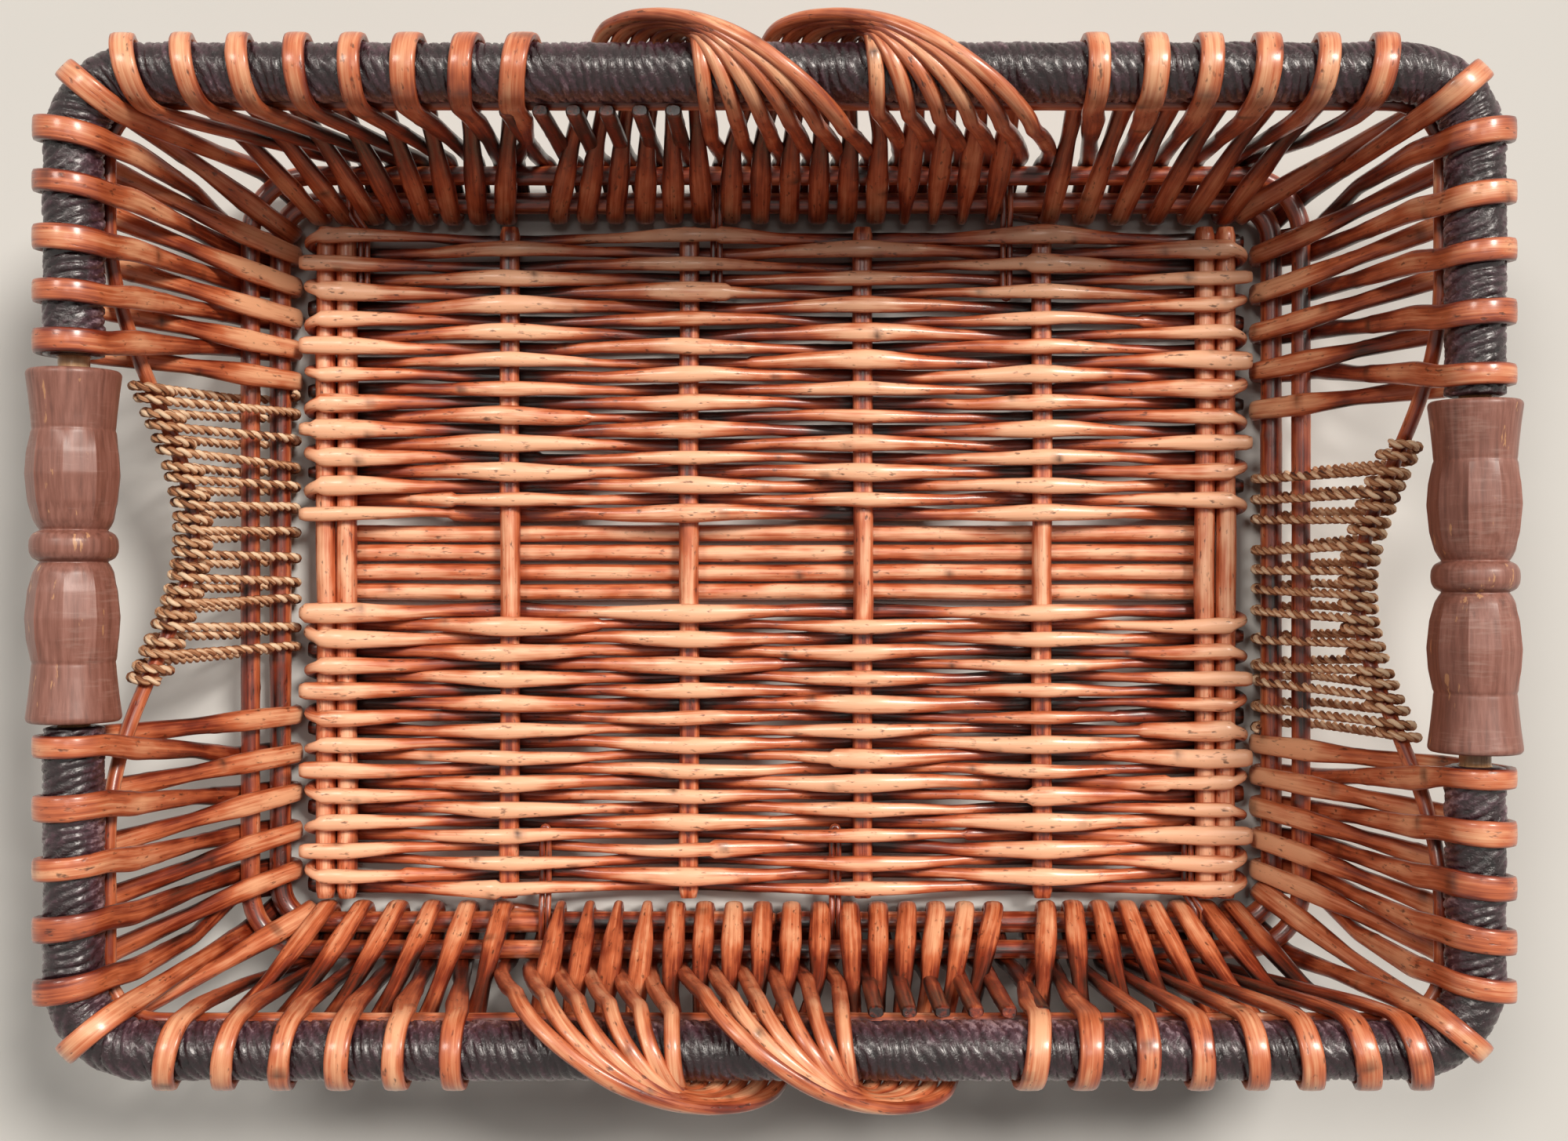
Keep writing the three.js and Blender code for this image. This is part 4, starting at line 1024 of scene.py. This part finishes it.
# %% Filling legs and right panels
FILLERS = 4
FILLER_SHORT = 0.1
FILLER_FOOT = 3.6
FIRST_FILLER = SECOND_FOOT + FOOT_PITCH
RIGHT_FEET = (FIRST_FILLER + FOOT_PITCH * (FILLERS + 1), RING_STRAIGHT - 4)
RIGHT_LOOPS = (104, RIM_STRAIGHT - 9)
RIGHT_COUNT = 6


def filled_panel(node, turn):
    piece = start_piece()
    run = Run(BACK)
    eight = figure_of_eight(BACK.ring_out, BACK.rim_out)
    for i in range(FILLERS):
        tip = part_way(eight["loop"][0], eight["foot"][-1], FILLER_SHORT)
        leg = [
            (eight["foot"][TUCK_SPLIT:], FILLER_FOOT),
            ([eight["shin"], eight["rising"]], LEG_WIDE),
            ([tip], FILLER_FOOT),
        ]
        order = -1 if i % 2 else 1
        shade = rng.uniform(-ROD_SHADE, ROD_SHADE)
        for spots, wide in leg[::order]:
            thick = min(wide, LEG_THICK)
            run.add(FIRST_FILLER + FOOT_PITCH * i, spots[::order], wide, thick, LEG_TONE + shade)
    plain_units(run, RIGHT_FEET, RIGHT_LOOPS, RIGHT_COUNT)
    run.roll(piece, turn)
    return finish_piece(piece, node, willow_with_painted_shade)


filled = [filled_panel("back_right_lacing", 1), filled_panel("front_left_lacing", -1)]
print("filled panels:", triangles(*filled), "triangles")

# %% [markdown]
# One rod stands at each corner, on the diagonal, and its two legs pass each other side by side. The wall's
# own directions are turned by 45 degrees, and everything else is the same belt.

# %% Corner rods
LEG_SPREAD = 5.5
RISING_SHARE = 0.44
FALLING_SHARE = 0.35
DIAGONAL = math.sqrt(0.5)


def corner_rod(node, hand, turn):
    ring = (RING_STRAIGHT, RING_STRAIGHT_Y)
    rim = (RIM_STRAIGHT, RIM_STRAIGHT_Y)
    ring_out = sum(ring) * DIAGONAL + RING_CORNER
    rim_out = sum(rim) * DIAGONAL + RIM_CORNER
    wall = Wall((DIAGONAL, -hand * DIAGONAL), (hand * DIAGONAL, DIAGONAL), ring_out, rim_out, 0)
    ring_along = hand * (ring[0] - ring[1]) * DIAGONAL
    rim_along = hand * (rim[0] - rim[1]) * DIAGONAL
    foot = ring_along - LEG_SPREAD
    shoulder = ring_along + LEG_SPREAD
    eight = figure_of_eight(ring_out, rim_out)
    piece = start_piece()
    run = Run(wall)
    rising = foot + (rim_along - foot) * RISING_SHARE
    falling = shoulder + (rim_along - shoulder) * FALLING_SHARE
    run.add(foot, eight["foot"][TUCK_SPLIT:], LEG_WIDE, LEG_THICK, FOOT_TONE)
    run.add(foot + (rising - foot) / 2, [eight["shin"]], LEG_WIDE, LEG_THICK, FOOT_TONE)
    run.add(rising, [eight["rising"]], CROSS_WIDE, LEG_THICK, LEG_TONE)
    over = rim_along + (ring_along - rim_along) * LOOP_SLANT * np.linspace(-1, 1, len(eight["loop"]))
    run.add(over, eight["loop"], LOOP_WIDE, LOOP_THICK, LOOP_TONE, LOOP_SQUARE)
    run.add(falling, [eight["falling"]], CROSS_WIDE, LEG_THICK, LEG_TONE)
    run.add(shoulder, eight["shoulder"] + eight["foot"][:TUCK_SPLIT], LEG_WIDE, LEG_THICK, CROSS_PAINTED_SHADE_TONE)
    run.roll(piece, turn)
    return finish_piece(piece, node, willow_with_painted_shade)


corners = [
    corner_rod("back_left_corner_rod", -1, 1),
    corner_rod("front_right_corner_rod", -1, -1),
    corner_rod("back_right_corner_rod", 1, 1),
    corner_rod("front_left_corner_rod", 1, -1),
]
print("corner rods:", triangles(*corners), "triangles")

# %% [markdown]
# Below each handle a seagrass rope is wound round the dip of the hoop and both ring rods. After every turn
# it goes once more round the hoop alone, which pads the hand hole and leaves the ring rods in sight between
# the turns. It is a rope of two strands, so two thin rods are rolled side by side round the rope's middle
# line, half a twist apart. A single tube with a bump could hint at the twist, but its outline would stay
# smooth.

# %% Seagrass ropes
ROPE_R = 1.95
ROPE_SLACK = 0.9
ROPE_TURNS = 12
RING_SHARE = 0.33
ROPE_FROM = 64
ROPE_TO = -41
RING_STRAY = 1.8
HOOP_STRAY = 0.5
STRAND_R = 0.98
TWIST_R = 0.84
TWIST_PITCH = 7
STRAND_TONES = (0.3, 0.06)
ROPE_STEP = 0.9
ROPE_SOFTEN = 1.2
INNER_POINTS = 9
OUTER_POINTS = 4
HOOP_POINTS = 25


def rope_loop(along):
    """One turn of the rope, as its spots round both rings, its spots round the hoop and the hoop's middle."""
    reach = ROPE_R + CLEAR
    n, z = arch_at(along)
    steep = math.hypot(1, arch_at(along + 1)[1] - z)
    inner = (RING_HALF_X, RING_Z, RING_R + reach, 1)
    outer = (RING_HALF_X + OUTER_RING_STEP, OUTER_RING_Z, OUTER_RING_R + reach, 1)
    top = (n, z, HOOP_R * steep + reach + ROPE_SLACK, 1)
    to_outer = heading(inner, outer)
    to_top = heading(outer, top)
    to_inner = heading(top, inner)
    rings = wrap(inner, to_inner, to_outer, INNER_POINTS) + wrap(outer, to_outer, to_top, OUTER_POINTS)
    return rings, wrap(top, to_top, to_inner, HOOP_POINTS, more=1), (n, z)


def rope_line():
    points = []
    pitch = (ROPE_TO - ROPE_FROM) / ROPE_TURNS
    for i in range(ROPE_TURNS):
        start = ROPE_FROM + pitch * i
        rings, hoop, middle = rope_loop(start + pitch / 2)
        ring_start = start + rng.uniform(-RING_STRAY, RING_STRAY)
        hoop_start = start + rng.uniform(-HOOP_STRAY, HOOP_STRAY)
        for share, spot in zip(np.linspace(0, RING_SHARE, len(rings)), rings):
            points.append(LEFT.place(ring_start + pitch * share, spot))
        for share, spot in zip(np.linspace(RING_SHARE, 1, len(hoop)), hoop):
            along = hoop_start + pitch * share
            n, z = arch_at(along)
            points.append(LEFT.place(along, (spot[0] + n - middle[0], spot[1] + z - middle[1])))
    return resample(points, np.zeros(len(points)), ROPE_STEP, ROPE_SOFTEN)[0]


def rope(node, turn):
    piece = start_piece()
    line = rope_line()
    tangent = np.gradient(line, axis=0)
    tangent /= np.linalg.norm(tangent, axis=1)[:, None]
    across = LEFT.along - tangent * (tangent @ LEFT.along)[:, None]
    across /= np.linalg.norm(across, axis=1)[:, None]
    normal = np.cross(tangent, across)
    twist = np.arange(len(line)) * ROPE_STEP / TWIST_PITCH * 2 * math.pi
    twist += wander(len(line), ROPE_STEP, length=200, amount=1.2)
    for half, tone_and_shade in zip((0, math.pi), STRAND_TONES):
        offset = across * np.cos(twist + half)[:, None] + normal * np.sin(twist + half)[:, None]
        size = 2 * STRAND_R * (1 + wander(len(line), ROPE_STEP, length=17, amount=0.07))
        tones = tone_and_shade + wander(len(line), ROPE_STEP, length=120, amount=0.12)
        strand = line + TWIST_R * offset
        add_rod(piece, strand, size, size, LEFT.along, tones, sides=7, turn=turn, scarred=False)
    print(node, "is", round(np.linalg.norm(np.diff(line, axis=0), axis=1).sum()), "mm long")
    return finish_piece(piece, node, seagrass)


ropes = [rope("left_rope", 1), rope("right_rope", -1)]
print("ropes:", triangles(*ropes), "triangles")

# %% [markdown]
# The mat starts from straight work: eight stakes lie across, a pair at each end and four between, and four
# centre sticks run under them along the middle. They are straight rods that bend and swell a little. In
# the weave the middle four stakes show as twin thin sticks, so a groove splits them there.

# %% Stakes and centre sticks
STICK_R = 3.2
STICK_STEP = 3
STICK_FLAT = 0.97
STAKE_TONE = 0.8
STICK_TONE = 0.84
STAKES = 8
STICKS = 4
SPLIT_STAKES = range(2, 6)
SPLIT_FROM = 20
SPLIT_EASE = 6
SPLIT_SHARP = 8
SPLIT_DEPTH = 0.32


def split_stake(run, angle):
    """Doubles a stake into two thin sticks inside the weave, and leaves it whole in the middle."""
    inside = np.clip((np.abs(run - STAKE_HALF) - SPLIT_FROM) / SPLIT_EASE, 0, 1)
    return 1 - SPLIT_DEPTH * inside * np.abs(np.sin(angle)) ** SPLIT_SHARP


stakes = []
stake_places = []
for i in range(STAKES):
    low, high = box_mm(f"stake_{i + 1}")
    x = (low.x + high.x) / 2
    stake_places.append(x)
    piece = start_piece()
    path, _ = resample([(x, low.y, BASE_Z), (x, high.y, BASE_Z)], np.zeros(2), STICK_STEP)
    path[:, 0] += wander(len(path), STICK_STEP, length=160, amount=0.35)
    width = 2 * STAKE_R * (1 + wander(len(path), STICK_STEP, length=110, amount=0.025))
    tone_and_shade = STAKE_TONE + wander(len(path), STICK_STEP, length=90, amount=0.1)
    ridge = split_stake if i in SPLIT_STAKES else None
    add_rod(piece, path, width, width * STICK_FLAT, (1, 0, 0), tone_and_shade, sides=20, ridge=ridge)
    stakes.append(finish_piece(piece, f"stake_{i + 1}", willow))
sticks = []
for i in range(STICKS):
    low, high = box_mm(f"centre_stick_{i + 1}")
    middle = (low + high) / 2
    piece = start_piece()
    ends = [(low.x, middle.y, middle.z), (high.x, middle.y, middle.z)]
    path, _ = resample(ends, np.zeros(2), STICK_STEP)
    path[:, 1] += wander(len(path), STICK_STEP, length=200, amount=0.3)
    width = 2 * STICK_R * (1 + wander(len(path), STICK_STEP, length=130, amount=0.03))
    tone_and_shade = STICK_TONE + wander(len(path), STICK_STEP, length=110, amount=0.1)
    add_rod(piece, path, width, width * STICK_FLAT, (0, 1, 0), tone_and_shade, sides=14)
    sticks.append(finish_piece(piece, f"centre_stick_{i + 1}", willow))
print("stakes and sticks:", triangles(*stakes, *sticks), "triangles")

# %% [markdown]
# The weavers go over and under the stakes in plain weave, 21 rows at the back and 22 at the front, and turn
# round the end stakes into the next row. Willow is stiff, so between stakes a weaver runs nearly straight
# from one side to the other, with a kink at each stake. It is pressed flat and wide where it crosses a
# stake and narrow where it squeezes between its neighbours, and that gives the mat its lens-shaped
# stitches. Painted shade darkens a weaver where it dives, and painted light brightens it where it stands up.

# %% Mat weavers
MAT_MIDDLE = 18.75
MAT_HALF_Y = 123
LENGTHS = {"back": [3] * 7, "front": [3] * 6 + [4]}
WEAVER_THICK = 4.2
RISE = STAKE_R + CLEAR + WEAVER_THICK / 2
OVER_WIDE = 6.9
PASS_WIDE = 4.3
END_WIDE = OVER_WIDE * 0.9
ROW_POINTS = 25
TURN_POINTS = 11
WEAVE_STEP = 2.0
TURN_SOFTEN = 1
WEAVE_SOFTEN = 6.5
SOFTER_WITHIN = 15
WEAVER_TONE = (0.51, 0.7)
KINK_SPARE = 1.0
DIVE_PAINTED_SHADE = 0.46
ROD_LENGTH = 620
BUTT_SIZE = 1.14
TIP_SIZE = 0.78
END_STAKE = -stake_places[0]
PAIR_STAKE = -stake_places[1]
MAT_HALF_X = END_STAKE + STAKE_R + CLEAR + WEAVER_THICK
COLUMNS = [(-END_STAKE, -PAIR_STAKE), *((x,) for x in stake_places[2:6]), (PAIR_STAKE, END_STAKE)]


def weave_row(row, y, leftward):
    """A row's points from end to end, each with its width and thickness."""
    spots = []
    for c, column in enumerate(COLUMNS):
        side = -1 if (row + c) % 2 else 1
        spots += [(x, side) for x in column]
    points = []
    for (x, side), (next_x, next_side) in zip(spots, spots[1:]):
        for share in np.linspace(0, 1, ROW_POINTS)[:-1]:
            wave = side if side == next_side else side * (1 - 2 * share)
            wide = PASS_WIDE + (OVER_WIDE - PASS_WIDE) * abs(wave)
            height = RISE * wave + (KINK_SPARE * wave if side != next_side else 0)
            points.append((x + (next_x - x) * share, y, BASE_Z + height, wide, WEAVER_THICK))
    points.append((spots[-1][0], y, BASE_Z + RISE * spots[-1][1], OVER_WIDE, WEAVER_THICK))
    return points[::-1] if leftward else points


def taper(count):
    """Width along a weaver: each rod in it thins from butt to tip, and the next starts thick again."""
    at = np.arange(count) * WEAVE_STEP / ROD_LENGTH + rng.random()
    return BUTT_SIZE + (TIP_SIZE - BUTT_SIZE) * (at % 1)


def weaver(node, first_row, rows, row_at):
    piece = start_piece()
    points = []
    for i in range(rows):
        leftward = i % 2 == 1
        y = row_at(first_row + i)
        row = weave_row(first_row + i, y, leftward)
        side = -1 if leftward else 1
        if i == 0:
            points.append((-MAT_HALF_X, y, row[0][2], END_WIDE, WEAVER_THICK))
        points += row
        if i == rows - 1:
            points.append((side * MAT_HALF_X, y, row[-1][2], END_WIDE, WEAVER_THICK))
            continue
        over = 1 if row[-1][2] > BASE_Z else -1
        for share in np.linspace(0, 1, TURN_POINTS)[1:-1]:
            angle = math.pi * (0.5 - share)
            spot_y = y + (row_at(first_row + i + 1) - y) * share
            reach = END_STAKE + RISE * math.cos(angle)
            height = BASE_Z + over * RISE * math.sin(angle)
            points.append((side * reach, spot_y, height, PASS_WIDE, WEAVER_THICK))
    data = np.array(points)
    path, size = resample(data[:, :3], data[:, 3:], WEAVE_STEP, TURN_SOFTEN)
    softer, _ = resample(data[:, :3], data[:, 3:], WEAVE_STEP, WEAVE_SOFTEN)
    inside = np.clip((END_STAKE - np.abs(path[:, :1])) / SOFTER_WITHIN, 0, 1)
    path = path + (softer - path) * inside
    count = len(path)
    path[:, 1] += wander(count, WEAVE_STEP, length=130, amount=0.6)
    fat = taper(count) + wander(count, WEAVE_STEP, length=150, amount=0.06)
    tone_and_shade = rng.uniform(*WEAVER_TONE) + wander(count, WEAVE_STEP, length=330, amount=0.16)
    # Painted shade where a weaver dives under a stake, painted light where it stands over one.
    tone_and_shade += DIVE_PAINTED_SHADE * (path[:, 2] - BASE_Z) / RISE
    add_rod(piece, path, size[:, 0] * fat, size[:, 1] * (0.5 + fat / 2), (0, 1, 0), tone_and_shade, sides=12)
    return finish_piece(piece, node, willow)


weavers = []
for name, side in (("back", 1), ("front", -1)):
    rows = sum(LENGTHS[name])
    row_pitch = (MAT_HALF_Y - MAT_MIDDLE) / (rows - 1)
    first = 0
    for i, length in enumerate(LENGTHS[name]):
        weavers.append(
            weaver(f"weaver_{name}_{i + 1}", first, length, lambda row: side * (MAT_MIDDLE + row_pitch * row))
        )
        first += length
print("weavers:", len(weavers), "pieces,", triangles(*weavers), "triangles")

# %% [markdown]
# Thin doubled sticks tie the mat to the ring: each is bent over, pushed into the weave beside a stake, and
# its two tips come out over the inner ring. One thin rod follows the hairpin there and back.

# %% Ties
TIE_R = 1.1
TIE_HALF = TIE_R + CLEAR / 2
TIE_DEPTH = 23
TIE_REACH = 7
TIE_SLOT = 1.5 / (LEFT_COUNT - 1)
TIE_LEAN = 0.06
TIE_STEP = 0.9
TIE_SOFTEN = 0.6
TIE_TONE = 0.55


def tie(node, mat_x, ring_x, turn):
    over = RING_Z + RING_R + CLEAR + TIE_R
    bend_y = MAT_HALF_Y - TIE_DEPTH
    legs = []
    for side in (-1, 1):
        at_ring = ring_x + side * TIE_HALF
        at_mat = mat_x + side * TIE_HALF
        legs.append(
            [
                (at_ring, RING_HALF_Y + TIE_REACH, over),
                (at_ring, RING_HALF_Y - RING_R - TIE_R, over),
                (at_mat, MAT_HALF_Y + WEAVER_THICK / 2 + CLEAR, BASE_Z),
                (at_mat, bend_y + TIE_HALF, BASE_Z),
                (mat_x + side * TIE_HALF / 2, bend_y, BASE_Z),
            ]
        )
    points = legs[0] + legs[1][::-1]
    piece = start_piece()
    path, _ = resample(points, np.zeros(len(points)), TIE_STEP, TIE_SOFTEN)
    add_rod(piece, path, 2 * TIE_R, 2 * TIE_R, UP, TIE_TONE, sides=8, turn=turn)
    return finish_piece(piece, node, willow_with_painted_shade)


pair_tie = -PAIR_STAKE + STAKE_R + CLEAR + TIE_HALF + TIE_R
slot_foot = LEFT_FEET[0] + (LEFT_FEET[1] - LEFT_FEET[0]) * TIE_SLOT
slot_loop = LEFT_LOOPS[0] + (LEFT_LOOPS[1] - LEFT_LOOPS[0]) * TIE_SLOT
inner_slot = FIRST_FOOT + FOOT_PITCH / 2
outer_slot = FIRST_FILLER + FOOT_PITCH * (FILLERS - 0.5)
tie_places = [
    (pair_tie, slot_foot + (slot_loop - slot_foot) * TIE_LEAN),
    (inner_slot, inner_slot),
    (outer_slot, outer_slot),
]
ties = []
for i, (mat_x, ring_x) in enumerate(tie_places):
    ties.append(tie(f"back_tie_{i + 1}", mat_x, ring_x, 1))
    ties.append(tie(f"front_tie_{i + 1}", mat_x, ring_x, -1))
print("ties:", triangles(*ties), "triangles")

# %% [markdown]
# The basket lies on a plain pale floor. In the photograph the light comes from the far long side and from
# above, so the inside of the near wall is bright and that of the far wall is in shade. Two wide windows on
# the far side do that, the right one stronger, and a weak one above opens the shadows. They are sun lamps,
# which light a large floor evenly. The world adds a little light, and a brighter pale sky where the camera
# or a reflection meets it.

# %% Floor and light
FLOOR_HALF = 60
WINDOW_ANGLE = math.radians(15)
SKY_FILL = 0.05
SKY_SEEN = 0.8


def floor():
    material, tree, shader = start_finish("pale_floor")
    place = add_node(tree, "ShaderNodeTexCoord", {}).outputs["Object"]
    cloud = add_node(tree, "ShaderNodeTexNoise", {"Vector": place, "Scale": 6, "Detail": 3})
    tint = add_node(
        tree,
        "ShaderNodeValToRGB",
        {"Fac": cloud.outputs["Fac"]},
        stops=[(0.3, "#d0d0cd"), (0.7, "#d3d3d0")],
    )
    tree.links.new(tint.outputs["Color"], shader.inputs["Base Color"])
    shader.inputs["Roughness"].default_value = 0.8
    bm = bmesh.new()
    bmesh.ops.create_grid(bm, x_segments=1, y_segments=1, size=FLOOR_HALF)
    mesh = bpy.data.meshes.new("floor")
    bm.to_mesh(mesh)
    bm.free()
    mesh.materials.append(material)
    obj = bpy.data.objects.new("floor", mesh)
    bpy.context.scene.collection.objects.link(obj)
    obj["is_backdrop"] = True


def window(name, place, strength, code):
    """A far, wide light whose rays come from one side, so the floor is as bright far off as near."""
    light = bpy.data.lights.new(name, "SUN")
    light.angle = WINDOW_ANGLE
    light.energy = strength
    light.color = colour(code)[:3]
    obj = bpy.data.objects.new(name, light)
    obj.location = place
    obj.rotation_euler = (-Vector(place)).to_track_quat("-Z", "Y").to_euler()
    bpy.context.scene.collection.objects.link(obj)


floor()
window("right_window", (1.15, 1.05, 1.85), 3.0, "#fff7ee")
window("left_window", (-0.9, 0.9, 1.8), 1.1, "#fff7ee")
window("top_window", (0.1, 0.3, 1.7), 0.25, "#fffaf4")
world = bpy.data.worlds.new("studio")
world.use_nodes = True
tree = world.node_tree
sky = tree.nodes["Background"]
sky.inputs["Color"].default_value = colour("#ebe7e0")
rays = add_node(tree, "ShaderNodeLightPath", {}).outputs
bounced = add_node(
    tree, "ShaderNodeMath", {0: rays["Is Glossy Ray"], 1: rays["Is Transmission Ray"]}, operation="MAXIMUM"
)
seen = add_node(
    tree, "ShaderNodeMath", {0: rays["Is Camera Ray"], 1: bounced.outputs[0]}, operation="MAXIMUM"
)
strength = add_node(
    tree, "ShaderNodeMapRange", {"Value": seen.outputs[0], "To Min": SKY_FILL, "To Max": SKY_SEEN}
)
tree.links.new(strength.outputs[0], sky.inputs["Strength"])
bpy.context.scene.world = world
bpy.context.scene.view_settings.view_transform = "Standard"

# %% [markdown]
# The photograph looks straight into the tray. Its rim is 0.257 mm to a pixel and its mat 0.295, and the
# ratio of the two puts the camera about 550 mm above the rim. The picture is 2000 pixels wide, so the
# lens follows from the width that it sees at the rim.

# %% Camera
PICTURE_WIDTH = 2000
RIM_MM_PER_PIXEL = 0.2574
CAMERA_HEIGHT = 552
CAMERA_SHIFT = (3.1, -3.0)
camera = bpy.data.cameras.new("camera")
camera.sensor_width = 36
camera.lens = camera.sensor_width * CAMERA_HEIGHT / (PICTURE_WIDTH * RIM_MM_PER_PIXEL)
camera_obj = bpy.data.objects.new("camera", camera)
camera_obj.location = Vector((*CAMERA_SHIFT, RIM_Z + CAMERA_HEIGHT)) * MM
bpy.context.scene.collection.objects.link(camera_obj)
bpy.context.scene.camera = camera_obj
print(f"lens {camera.lens:.1f} mm")

# %% Sizes and the end
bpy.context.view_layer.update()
shown = [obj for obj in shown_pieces() if obj.type == "MESH"]
print("pieces:", len(shown), "triangles:", triangles(*shown))
